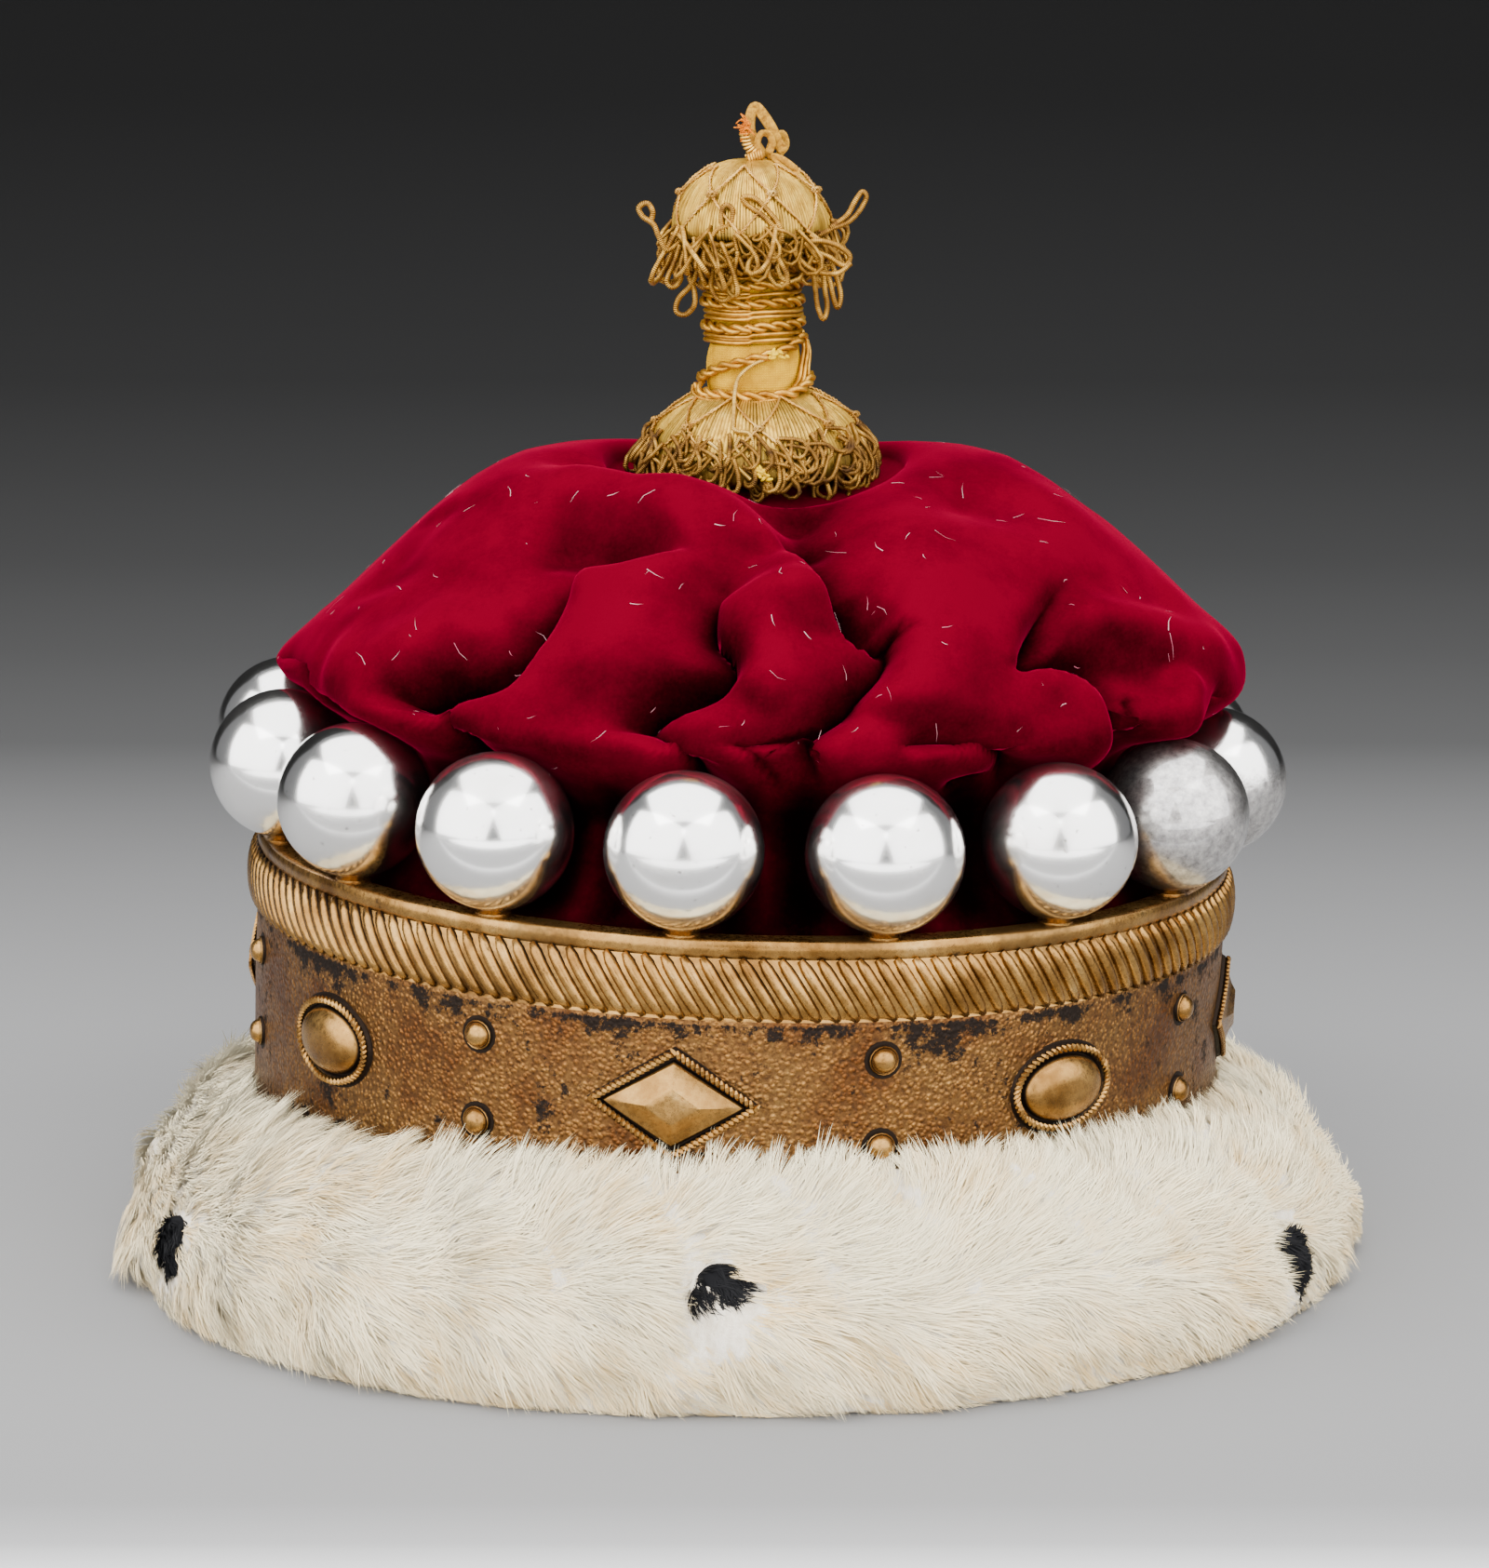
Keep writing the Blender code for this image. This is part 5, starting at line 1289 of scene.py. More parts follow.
def under_outline(points):
    """Lower the cloth where the camera would see it above the outline in the photograph."""
    crown = np.array(CROWN)
    place = points @ crown[:3, :3].T + crown[:3, 3] / MM
    ahead, above = math.cos(CAMERA_TILT), math.sin(CAMERA_TILT)
    height = place[..., 2] - CAMERA_AIM
    distance = CAMERA_DISTANCE + place[..., 1] * ahead - height * above
    seen_up = (place[..., 1] * above + height * ahead) / distance * CAMERA_DISTANCE
    seen_across = place[..., 0] / distance * CAMERA_DISTANCE
    table = np.array(CAP_OUTLINE)
    margin, blend = 0.8, 1.2
    excess = seen_up + margin - np.interp(seen_across, table[:, 0], table[:, 1])
    lowered = points.copy()
    lowered[..., 2] -= blend * np.log1p(np.exp(np.clip(excess / blend, -30.0, 30.0)))
    return lowered


def keep_off_balls(points):
    """Push the cloth out of the space of each ball, and past its back where it would come through."""
    reach = BALL_RADIUS + CAP_WALL / 2 + 0.3
    blend = 0.9
    for index in range(BALL_COUNT):
        centre = ball_centre(index)
        away = points - centre
        distance = np.linalg.norm(away, axis=-1, keepdims=True)
        inward = np.array((-centre[0], -centre[1], 0.6 * BALL_RING))
        inward /= np.linalg.norm(inward)
        turned = away + inward * reach * smooth_step(3.0, -4.0, (away @ inward)[..., None])
        turned /= np.maximum(np.linalg.norm(turned, axis=-1, keepdims=True), 1e-6)
        short = np.maximum(reach - distance, -8.0)
        push = blend * np.exp(-np.abs(short) / blend)
        points = np.where(short > 0.0, centre + turned * (reach + push), points + turned * push)
    return points


def softened(points, weight):
    """Each point moved by a weight towards the middle of its four neighbours."""
    middle = (np.roll(points, 1, axis=1) + np.roll(points, -1, axis=1)) / 4
    middle[1:-1] += (points[:-2] + points[2:]) / 4
    middle[[0, -1]] = points[[0, -1]]
    return points + (middle - points) * weight[..., None]


def cap_grid(settings):
    """Points of the cap's cloth in mm, its painted light and shade, darkest where it lies deep in a fold,
    and its share of the meridian.
    """
    front, back = CAP_COLUMNS
    half = CAP_FRONT_SPAN / 2
    azimuth = np.concatenate([np.linspace(-half, half, front, endpoint=False),
                              np.linspace(half, TURN - half, back, endpoint=False)])
    spans = [np.linspace(low, high, count, endpoint=False) for low, high, count in CAP_ROWS]
    azimuth, share = np.meshgrid(azimuth, np.concatenate(spans + [[1.0]]))
    radius, height = cap_base(azimuth, share)
    step = 0.004
    near = cap_base(azimuth, np.maximum(share - step, 0.0))
    far = cap_base(azimuth, np.minimum(share + step, 1.0))
    down = np.stack([far[0] - near[0], far[1] - near[1]], axis=-1)
    down /= np.linalg.norm(down, axis=-1, keepdims=True)
    rise, slide_round, slide_down, depth = fold_shift(azimuth, share, radius)
    # Pleats behind the balls, a dip in front of the tassel, and a fine crumple
    pleats = between(share, 0.74, 0.82, 0.90, 0.94)
    wave = settings.pleats * azimuth + 2.4 * np.sin(3 * azimuth) + 1.3 * np.sin(7 * azimuth + 1.0)
    pleat = (0.5 + 0.5 * np.cos(wave)) ** 0.7
    rise -= settings.pleat_depth / MM * pleats * pleat
    base = polar(radius, azimuth, height)
    rise -= 3.6 * np.exp(-((share - 0.15) / 0.05) ** 2) * smooth_step(-0.2, 0.8, np.cos(azimuth))
    crumple = between(share, 0.20, 0.30, 0.86, 0.93)
    rise += crumple * (0.35 * ripple(base, 30.0, 21) + 0.07 * ripple(base, 9.0, 22))
    out = radius - down[..., 1] * rise + down[..., 0] * slide_down
    up = height + down[..., 0] * rise + down[..., 1] * slide_down
    points = polar(out, azimuth + slide_round / np.maximum(radius, 8.0), up)
    open_cloth = between(share, 0.17, 0.24, 0.68, 0.74)
    points = points + (under_outline(points) - points) * open_cloth[..., None]
    points = np.where(((share > 0.5) & (share < 0.93))[..., None], keep_off_balls(points), points)
    lower = between(share, 0.56, 0.64, 0.93, 0.97)
    for _ in range(3):
        points = softened(points, 0.15 * open_cloth + (0.6 - 0.15 * open_cloth) * lower)
    # Painted light and shade: the pile is painted lighter where it faces up, and painted dark in creases,
    # hollows, pleats, beside the tassel and behind the balls
    round_way = np.roll(points, -1, axis=1) - np.roll(points, 1, axis=1)
    normal = np.cross(np.gradient(points, axis=0), round_way)
    upward = normal[..., 2] / np.maximum(np.linalg.norm(normal, axis=-1), 1e-9)
    catch = 0.85 * smooth_step(-0.05, 0.85, upward) + 0.15 * smooth_step(0.0, 4.0, rise)
    hollow = 0.92 * depth + 0.42 * smooth_step(-1.0, -8.0, rise) * (share < 0.8) + 0.45 * pleats * pleat
    # Painted shade beside the tassel's foot, and behind the balls lower down
    by_tassel = np.exp(-((share - 0.17) / 0.06) ** 2) * smooth_step(0.75, 1.0, np.cos(azimuth - 0.12))
    hollow = hollow + 0.45 * by_tassel + 0.50 * smooth_step(0.70, 0.84, share)
    for degrees, along, wide, high, tone in CAP_PATCHES:
        across = (azimuth - math.radians(degrees)) / math.radians(wide)
        hollow = hollow + tone * np.exp(-across ** 2 - ((share - along) / high) ** 2)
    # Painted highlight where the pile faces up or rises, held back where painted shade lies
    tone = hollow - 0.8 * catch * (1.0 - np.clip(hollow, 0.0, 1.0))
    return points, np.clip(tone, -0.8, 1.0), share


def make_cap(settings):
    """The cap with its wall and its lint; the lint grows on the cloth before the wall is added."""
    points, tone, share = cap_grid(settings)
    draft = Draft()
    draft.grid(points, tone=tone.ravel(), flip=True, poles=(True, False))
    cap = draft.to_piece("velvet", velvet_finish(settings), CROWN)
    surface = cap.data
    add_lint(surface, share)
    wall = cap.modifiers.new("cloth", "SOLIDIFY")
    wall.thickness = CAP_WALL * MM
    wall.offset = 0.0
    mesh = bpy.data.meshes.new_from_object(cap.evaluated_get(bpy.context.evaluated_depsgraph_get()))
    cap.modifiers.remove(wall)
    cap.data = mesh
    bpy.data.meshes.remove(surface)
    ride(cap, "crimson_velvet", "velvet_cap")


def hair_shape(name, hairs, length, width, spread, lift, seed, curl=0.0, aim=0.13):
    """A tuft of flat tapering hairs that rise from a root and lean over along +X."""
    chance = np.random.default_rng(seed)
    draft = Draft()
    for _ in range(hairs):
        root = np.append(chance.normal(0.0, spread, 2), -0.3)
        reach = length * chance.uniform(0.72, 1.12)
        way = np.array((0.0, 0.52, 1.0))
        forward = reach * way
        side = math.sin(chance.normal(0.0, aim)) * forward - root[1] * 0.5 * way ** 2
        side = side + curl * reach * np.sin(way * 3.0 + seed)
        height = root[2] + reach * lift * chance.uniform(0.6, 1.3) * np.sin(way * 2.2) / 2.2
        path = np.stack([root[0] + forward, root[1] + side, height], axis=-1)
        half = 0.5 * width * np.array((1.0, 0.85, 0.0)) * chance.uniform(0.8, 1.2)
        lean = chance.uniform(-0.5, 0.5)
        across = np.array((0.0, math.cos(lean), math.sin(lean)))
        points = [path[row] + sign * across * half[row] for row in (0, 1) for sign in (-1, 1)]
        draft.add(points + [path[2]], [(0, 2, 3, 1), (2, 4, 3)], (0.0, 0.0, 0.5, 0.5, 1.0))
    return draft.to_piece(name)


def shape_collection(name, shapes):
    """Gather shapes into a collection that a growth tree can pick from."""
    collection = bpy.data.collections.new(name)
    bpy.context.scene.collection.children.link(collection)
    for shape in shapes:
        bpy.context.scene.collection.objects.unlink(shape)
        collection.objects.link(shape)
    return collection


def drop_collection(collection):
    """Remove a collection with its shapes once nothing grows from it."""
    for shape in list(collection.objects):
        bpy.data.objects.remove(shape, do_unlink=True)
    bpy.data.collections.remove(collection)


def set_growth(mesh, comb, length, thick):
    """Store the lay, the length and the thickness of what grows on a mesh."""
    rows = (("comb", "FLOAT_VECTOR", "vector", comb), ("length", "FLOAT", "value", length),
            ("thick", "FLOAT", "value", thick))
    for name, kind, key, values in rows:
        mesh.attributes.new(name, kind, "POINT").data.foreach_set(key, np.asarray(values).ravel())


def grow(surface, collection, name, material, density, seed, turn, sizes):
    """Grow the shapes of a collection on a surface, `density` of them to a square metre."""
    tree, keys = tree_for("growth", growth_tree)
    values = {"Shapes": collection, "Density": density, "Seed": seed, "Turn": turn, "Smallest": sizes[0],
              "Largest": sizes[1], "Material": material}
    return run_tree(surface, tree, keys, values, name)


def add_lint(surface, share):
    """Pale bits of lint that cling to the velvet."""
    shapes = [hair_shape(f"lint_{index}", 1, 1.2 + 0.5 * index, 0.13, 0.2, 0.05, 40 + index, curl=0.16)
              for index in range(SHAPE_COUNT)]
    proud = CAP_WALL / 2 + 0.5
    for shape in shapes:
        shape.data.transform(Matrix.Translation((0.0, 0.0, proud * MM)))
    collection = shape_collection("lint_shapes", shapes)
    mesh = surface.copy()
    mesh.materials.clear()
    count = len(mesh.vertices)
    comb = np.tile((0.3, 0.2, -1.0), (count, 1))
    set_growth(mesh, comb, np.ones(count), between(share, 0.20, 0.3, 0.72, 0.76))
    ground = add_object("lint_ground", mesh)
    lint = grow(ground, collection, "velvet_lint", lint_finish(), 1.5e4, 4, math.pi, (0.4, 1.1))
    drop_collection(collection)
    ride(lint, "crimson_velvet")


# Fur border

def fur_section(azimuth):
    """Outer radius and top height of the fur in mm, blended between the table's azimuths."""
    rows = np.array(FUR_SECTIONS, float)
    count = len(rows)
    degrees = np.degrees(azimuth) % 360
    index = np.searchsorted(rows[:, 0], degrees, side="right") - 1
    following = (index + 1) % count
    span = (rows[following, 0] - rows[index, 0]) % 360
    local = ((degrees - rows[index, 0]) / span)[..., None]
    values = catmull_rom(*(rows[(index + step) % count, 1:] for step in (-1, 0, 1, 2)), local)
    return values[..., 0], values[..., 1]


def fur_skin(azimuth, out, up):
    """Points in mm on the skin of the fur, with the swell of its slanting locks."""
    radius, top = fur_section(azimuth)
    reach = FUR_SHOULDER + out * (radius - HAIR_STAND - FUR_SHOULDER)
    phase = FUR_LOCKS * azimuth + 5.0 * up
    swell = 2.4 * (np.abs(np.sin(phase / 2)) - 0.5) + 0.8 * np.sin(9 * azimuth + 5.0 * up)
    place = polar(100.0, azimuth, 40.0 * up)
    swell += 0.9 * ripple(place, 16.0, 31) + 0.5 * ripple(place, 7.0, 32)
    fade = smooth_step(0.05, 0.3, out) * smooth_step(0.0, 0.2, up)
    points = polar(reach + swell * fade, azimuth, top * up + 0.6 * swell * fade * (1 - out))
    points[..., 0] += CROWN_SHIFT * (1.0 - np.clip(out, 0.0, 1.0))
    return points


def fit_fur(points):
    """Stretch the outermost skin so that the border is centred and has its named size."""
    share = smooth_step(98.8, 112.0, np.hypot(points[..., 0], points[..., 1]))
    for axis in (0, 1):
        low, high = points[..., axis].min(), points[..., axis].max()
        wanted = FUR_SIZE[axis] / 2 / np.where(points[..., axis] > 0, high, -low)
        points[..., axis] *= 1.0 + (wanted - 1.0) * share
    return points


def pelt_grid():
    """The whole ring of pelt, round its section, and its shares out and up."""
    section = smooth_path(FUR_SKIN, 4)
    azimuth = np.arange(300) * TURN / 300
    out = np.broadcast_to(section[:, :1], (len(section), len(azimuth)))
    up = np.broadcast_to(section[:, 1:], out.shape)
    skin = fit_fur(fur_skin(np.broadcast_to(azimuth, out.shape), out, up))
    shift = np.array((CROWN_SHIFT, 0.0, 0.0))
    lining = np.array([polar(radius, azimuth, height) + shift for radius, height in FUR_LINING])
    # The top of the lining leans with the band that stands on it
    upper = lining[2:]
    upper[..., 2] -= upper[..., 0] * math.tan(CROWN_LEAN) * (upper[..., 2] / FUR_LINING[-1][1])
    return np.concatenate([skin, lining]), out, up


def hair_field(azimuth, out, up, points):
    """Lay, length and thickness of the hair over the outer skin."""
    down = np.gradient(points, axis=0)
    down /= np.maximum(np.linalg.norm(down, axis=-1, keepdims=True), 1e-6)
    round_way = np.roll(points, -1, axis=1) - np.roll(points, 1, axis=1)
    round_way /= np.linalg.norm(round_way, axis=-1, keepdims=True)
    table = np.array(FUR_LAY)
    place = polar(100.0, azimuth, 40.0 * up)
    level = up + 0.07 * ripple(place, 42.0, 51)
    angle = np.interp(level, table[:, 0], table[:, 1])
    angle = angle + 13.0 * ripple(place, 19.0, 52) + 10.0 * ripple(place, 8.0, 53)
    angle = np.radians(angle)[..., None]
    comb = np.cos(angle) * round_way - np.sin(angle) * down
    length = 0.95 + 0.16 * ripple(place, 12.0, 54)
    at_top, at_foot = smooth_step(0.75, 1.0, up), smooth_step(0.34, 0.02, up)
    length = length * (1.0 - 0.25 * at_top) * (1.0 - 0.48 * at_foot)
    thick = smooth_step(0.002, 0.03, out) * smooth_step(0.015, 0.05, up)
    for degrees, height, half_width, half_height in TAILS:
        across = signed_turn(azimuth - math.radians(degrees)) * TAIL_RING
        above = (points[..., 2] - height) / half_height
        gap = np.sqrt((across / half_width) ** 2 + above ** 2) + 0.08 * ripple(place, 3.0, 55)
        thick = thick * smooth_step(0.92, 1.14, gap)
        # The hair combed towards a tail is cut short, so that it doesn't cover the black
        level_with = smooth_step(1.5, 0.9, np.abs(above))
        before = -across - half_width
        reaches = (before > -half_width) & (before < 13.0)
        short = np.where(reaches, np.clip((before + 1.6) / 12.0, 0.22, 1.0), 1.0)
        length = length * (1.0 + (short - 1.0) * level_with)
    return comb, np.clip(length, 0.2, 1.3), thick


def tidy_hair(piece):
    """Keep hair above the floor, outside the band and inside the room that the fur may take."""
    mesh = piece.data
    place = np.empty(len(mesh.vertices) * 3, np.float32)
    mesh.vertices.foreach_get("co", place)
    place = place.reshape(-1, 3)
    sunk = np.abs(np.minimum(place[:, 2], 0.0))
    place[:, 2] = np.maximum(place[:, 2], HAIR_FLOOR + 0.12 * sunk)
    to_crown, from_crown = np.array(CROWN.inverted()), np.array(CROWN)
    local = place @ to_crown[:3, :3].T + to_crown[:3, 3]
    radius = np.hypot(local[:, 0], local[:, 1])
    inside = (local[:, 2] > 24.0 * MM) & (radius < HAIR_INSIDE)
    wanted = HAIR_INSIDE + 0.15 * (HAIR_INSIDE - radius)
    local[:, :2] *= np.where(inside, wanted / np.maximum(radius, 1e-4), 1.0)[:, None]
    place = np.where(inside[:, None], local @ from_crown[:3, :3].T + from_crown[:3, 3], place)
    over = (np.abs(place) / HAIR_ROOM).max(axis=1)
    drawn_in = place / np.maximum(over, 1.0)[:, None] ** (1, 1, 0)
    place = np.where((over > 1.0)[:, None], drawn_in, place)
    mesh.vertices.foreach_set("co", place.astype(np.float32).ravel())
    mesh.update()


def make_fur(settings):
    """The pelt with its lining, and the white hair in three pieces round it."""
    points, out, up = pelt_grid()
    rows = len(out)
    height, width = points.shape[:2]
    tone = np.zeros((height, width))
    tone[rows - UNDERSIDE_ROWS:] = 1.0
    draft = Draft()
    draft.add(points, wrapped_faces(height, width, flip=True), tone.ravel())
    pelt = draft.to_piece("fur_pelt", pelt_finish(settings), sharp=60)
    ride(pelt, "white_fur", "fur_border")

    azimuth = np.broadcast_to(np.arange(width) * TURN / width, out.shape)
    comb, length, thick = hair_field(azimuth, out, up, points[:rows])
    tufts = [hair_shape(f"tuft_{index}", 9, settings.hair_length / MM, 0.20, 0.60, 0.40, 60 + index)
             for index in range(SHAPE_COUNT)]
    collection = shape_collection("tuft_shapes", tufts)
    hair = hair_finish("white_hair", settings.root, settings.white, (0.84, 0.57, 0.24),
                       Sheen_Weight=0.35, Sheen_Roughness=0.45, Sheen_Tint=(1.0, 0.90, 0.70, 1.0))
    spans = (("front_hair", -75, 45), ("right_hair", 45, 165), ("left_hair", 165, 285))
    for number, (name, low, high) in enumerate(spans):
        first, last = (round(degrees / 360 * width) for degrees in (low, high))
        columns = np.arange(first, last + 1) % width
        draft = Draft()
        draft.grid(points[:rows][:, columns], closed=False, flip=True)
        ground = draft.to_piece(name + "_ground")
        set_growth(ground.data, comb[:, columns], length[:, columns], thick[:, columns])
        piece = grow(ground, collection, name, hair, settings.hair_density, number, 0.30, (0.75, 1.15))
        tidy_hair(piece)
        ride(piece, "white_fur")
    drop_collection(collection)


def tail_core(number, centre, across, out, half_width, half_height):
    """Points of the flat lump below a black tuft."""
    polar_angle = np.linspace(0.05, math.pi - 0.05, 15)[:, None]
    angle = np.arange(20)[None, :] * TURN / 20
    halves = ((np.sin(polar_angle) * np.cos(angle), across * half_width * 1.06),
              (np.sin(polar_angle) * np.sin(angle), out * 3.4),
              (np.cos(polar_angle) * np.ones_like(angle), np.array((0, 0, half_height * 1.04))))
    points = sum(wave[..., None] * direction for wave, direction in halves) + centre
    return points + out * (0.35 * ripple(points, 4.0, 70 + number))[..., None]


def make_tails():
    """Black tufts, lower than the white hair round them, each over its node."""
    black = hair_finish("black_hair", (0.004, 0.004, 0.005), (0.009, 0.009, 0.010))
    tufts = [hair_shape(f"black_tuft_{index}", 8, 4.8, 0.26, 0.5, 0.45, 80 + index)
             for index in range(SHAPE_COUNT)]
    collection = shape_collection("black_tuft_shapes", tufts)
    for number, (degrees, height, half_width, half_height) in enumerate(TAILS, start=1):
        low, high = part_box(f"ermine_tail_{number}")
        facing = math.radians(degrees)
        across = np.array((math.cos(facing), math.sin(facing), 0.0))
        out = np.array((math.sin(facing), -math.cos(facing), 0.0))
        # The tuft may lie up to 5 mm beside its node and 6 mm above or below it, and stands out of it
        centre = np.array((low + high) / 2) / MM
        centre = centre + across * np.clip(-centre @ across, -5.0, 5.0)
        centre[2] += np.clip(height - centre[2], -6.0, 6.0)
        centre += out * 1.4
        points = tail_core(number, centre, across, out, half_width, half_height)
        draft = Draft()
        draft.grid(points, poles=(True, True))
        core = draft.to_piece(f"tail_core_{number}", black)
        ground = add_object(f"tail_ground_{number}", core.data.copy())
        thick = smooth_step(-0.2, 0.8, ((points - centre) @ out).ravel())
        comb = np.tile(across * 0.75 - np.array((0.0, 0.0, 0.6)), (len(thick), 1))
        set_growth(ground.data, comb, np.ones(len(thick)), thick)
        hair = grow(ground, collection, f"tail_hair_{number}", black, TAIL_DENSITY, 90 + number, 0.7,
                    (0.6, 1.05))
        tidy_hair(hair)
        tail = join_pieces(f"black_tail_{number}", [core, hair])
        ride(tail, "black_fur", f"ermine_tail_{number}")
    drop_collection(collection)


# Tassel, in mm in its own frame

def thread_dome(draft, section, threads, seed, hidden, shade):
    """A dome of threads laid down its slope, a ridge to each, dark in gaps, with painted shade below its
    fringe.
    """
    chance = np.random.default_rng(seed)
    profile = smooth_path(section, 3)
    azimuth = np.arange(threads * 2) * TURN / (threads * 2)
    gap = (chance.random(threads) < 0.5) * chance.uniform(0.4, 1.0, threads)
    swell = np.zeros(threads * 2)
    swell[0::2] = 0.14 + 0.10 * chance.random(threads)
    swell[1::2] = -0.16 - 0.46 * gap
    tone = np.zeros(threads * 2)
    tone[1::2] = 0.66 + 0.34 * gap
    share = np.linspace(0.0, 1.0, len(profile))[:, None]
    fade = smooth_step(0.0, 0.10, share) * smooth_step(1.0, 0.9, share)
    smooth = polar(profile[:, :1], azimuth[None], profile[:, 1:])
    radius = profile[:, :1] + swell[None] * fade + 0.16 * ripple(smooth, 7.0, seed)
    tone = tone[None] * fade
    # Painted shade below the fringe
    tone = np.maximum(tone, shade * smooth_step(hidden - 0.12, hidden + 0.10, share))
    points = polar(radius, azimuth[None], profile[:, 1:])
    draft.grid(points, tone=tone.ravel(), flip=True, poles=(True, True))


def on_dome(section, share, azimuth, proud):
    """Points on a dome's surface, `proud` mm outside it."""
    profile = smooth_path(section, 6)
    step = np.linalg.norm(np.diff(profile, axis=0), axis=1)
    way = np.concatenate([[0.0], np.cumsum(step)]) / step.sum()
    near, here, far = (np.stack([np.interp(share + shift, way, column) for column in profile.T], axis=-1)
                       for shift in (-0.01, 0.0, 0.01))
    down = far - near
    down /= np.linalg.norm(down, axis=-1, keepdims=True)
    return polar(here[..., 0] - down[..., 1] * proud, azimuth, here[..., 1] + down[..., 0] * proud)


def make_net(section, knots, spans, first, material, name):
    """A diamond net of thin twisted cord over a dome, with a knot at each crossing."""
    pieces = []
    pitch = TURN / knots
    top, middle, bottom = spans
    share = np.concatenate([np.linspace(top, middle, 9), np.linspace(middle, bottom, 9)[1:]])
    turn = np.concatenate([np.linspace(-0.5, 0.0, 9), np.linspace(0.0, 0.5, 9)[1:]])
    proud = 0.40 + 0.25 * np.exp(-(turn / 0.10) ** 2)
    for number in range(knots):
        for way in (-1, 1):
            path = on_dome(section, share, first + pitch * (number + way * turn), proud)
            pieces.append(cord_along(path, f"{name}_{number}_{way}", material, 0.40, 1.9, 0.75, 4))
    draft = Draft()
    angle = np.linspace(0.0, TURN, 8, endpoint=False)
    bend = 0.42 * np.stack([np.cos(angle), 0.4 * np.sin(2 * angle), np.sin(angle)], axis=-1)
    for number in range(knots):
        centre = on_dome(section, np.array(middle), np.array(first + pitch * number), 0.75)
        for part in range(5):
            offset = 0.62 * np.array((math.cos(part * 1.26), math.sin(part * 1.26), 0.0))
            draft.tube(centre + offset * 0.8 + bend, 0.34, 4, closed=True, tone=np.repeat(angle, 4))
    pieces.append(draft.to_piece(name + "_knots", material))
    return join_pieces(name, pieces)


def add_thread(draft, path, radius, sides):
    """A wound thread along a path, its `tone` the length run in mm."""
    draft.tube(path, radius, sides, tone=np.repeat(run_along(path), sides))


def loop_shape(name, length, width, radius, seed, twist):
    """One bullion loop that lies out along +X from its root."""
    chance = random.Random(seed)
    way = np.linspace(0.0, 1.0, 13)
    reach = length * (0.5 - 0.5 * np.cos(TURN * way))
    neck = 0.25 + 0.75 * (reach / length) ** 1.3
    side = width * np.sin(TURN * way) * neck + chance.uniform(-0.12, 0.12) * reach
    lift = 0.35 * np.cos(TURN * way * 0.5) * radius * 3 + chance.uniform(-0.02, 0.16) * reach
    lift = lift + twist * np.sin(TURN * way) * reach * 0.25
    draft = Draft()
    add_thread(draft, np.stack([reach, side, lift], axis=-1), radius, 5)
    return draft.to_piece(name)


def fringe(name, rows, comb, density, shapes, material, seed, turn, sizes):
    """Loops grown on a strip round the tassel; the strip itself isn't kept."""
    draft = Draft()
    draft.grid(rows)
    ground = draft.to_piece(name + "_ground")
    count = len(ground.data.vertices)
    set_growth(ground.data, comb.reshape(-1, 3), np.ones(count), np.ones(count))
    collection = shape_collection(name + "_shapes", shapes)
    piece = grow(ground, collection, name, material, density, seed, turn, sizes)
    drop_collection(collection)
    return piece


def strip(section, columns=48):
    """Rows of points round the tassel, and the way down them."""
    azimuth = np.arange(columns) * TURN / columns
    section = np.asarray(section, float)
    rows = polar(section[:, :1], azimuth[None, :], section[:, 1:])
    down = np.gradient(rows, axis=0)
    return rows, down / np.linalg.norm(down, axis=-1, keepdims=True)


def outward_ring(rows):
    """The level way out from the axis at each point of a strip."""
    columns = rows.shape[1]
    return polar(np.ones(columns), np.arange(columns) * TURN / columns, np.zeros(columns))[None]


def winding_pieces(material):
    """The cord wound round the neck: plain turns and twisted pairs, each a little askew."""
    pieces = []
    chance = random.Random(12)
    angle = np.linspace(0.0, TURN, 48, endpoint=False)
    for number, (kind, height) in enumerate(WINDING_ROWS):
        askew = chance.uniform(-0.30, 0.30) * np.sin(angle + chance.uniform(0, 6))
        if kind == "plain":
            middle, radius, twist, step = 8.95, 0.78, PLAIN_TURN, 0.9
        else:
            middle, radius, twist, step = 9.25, 1.12, 6.6, 0.8
        path = polar(middle + 0.12 * np.sin(3 * angle + number), angle,
                     height + askew + 0.1 * np.sin(4 * angle))
        pieces.append(cord_along(path, f"turn_{number}", material, radius, twist, step, closed=True))
    return pieces


def neck_path(rows):
    """A path round the neck through rows of azimuth in degrees, height and distance out."""
    line = smooth_path(rows, 10)
    section = np.array(NECK_SECTION)
    radius = np.interp(line[:, 1], section[:, 1], section[:, 0]) + line[:, 2]
    return polar(radius, np.radians(line[:, 0]), line[:, 1])


def in_tassel(name, pieces):
    """Join pieces of the tassel and move them from its own frame into place."""
    piece = join_pieces(name, pieces)
    piece.data.transform(TASSEL)
    return piece


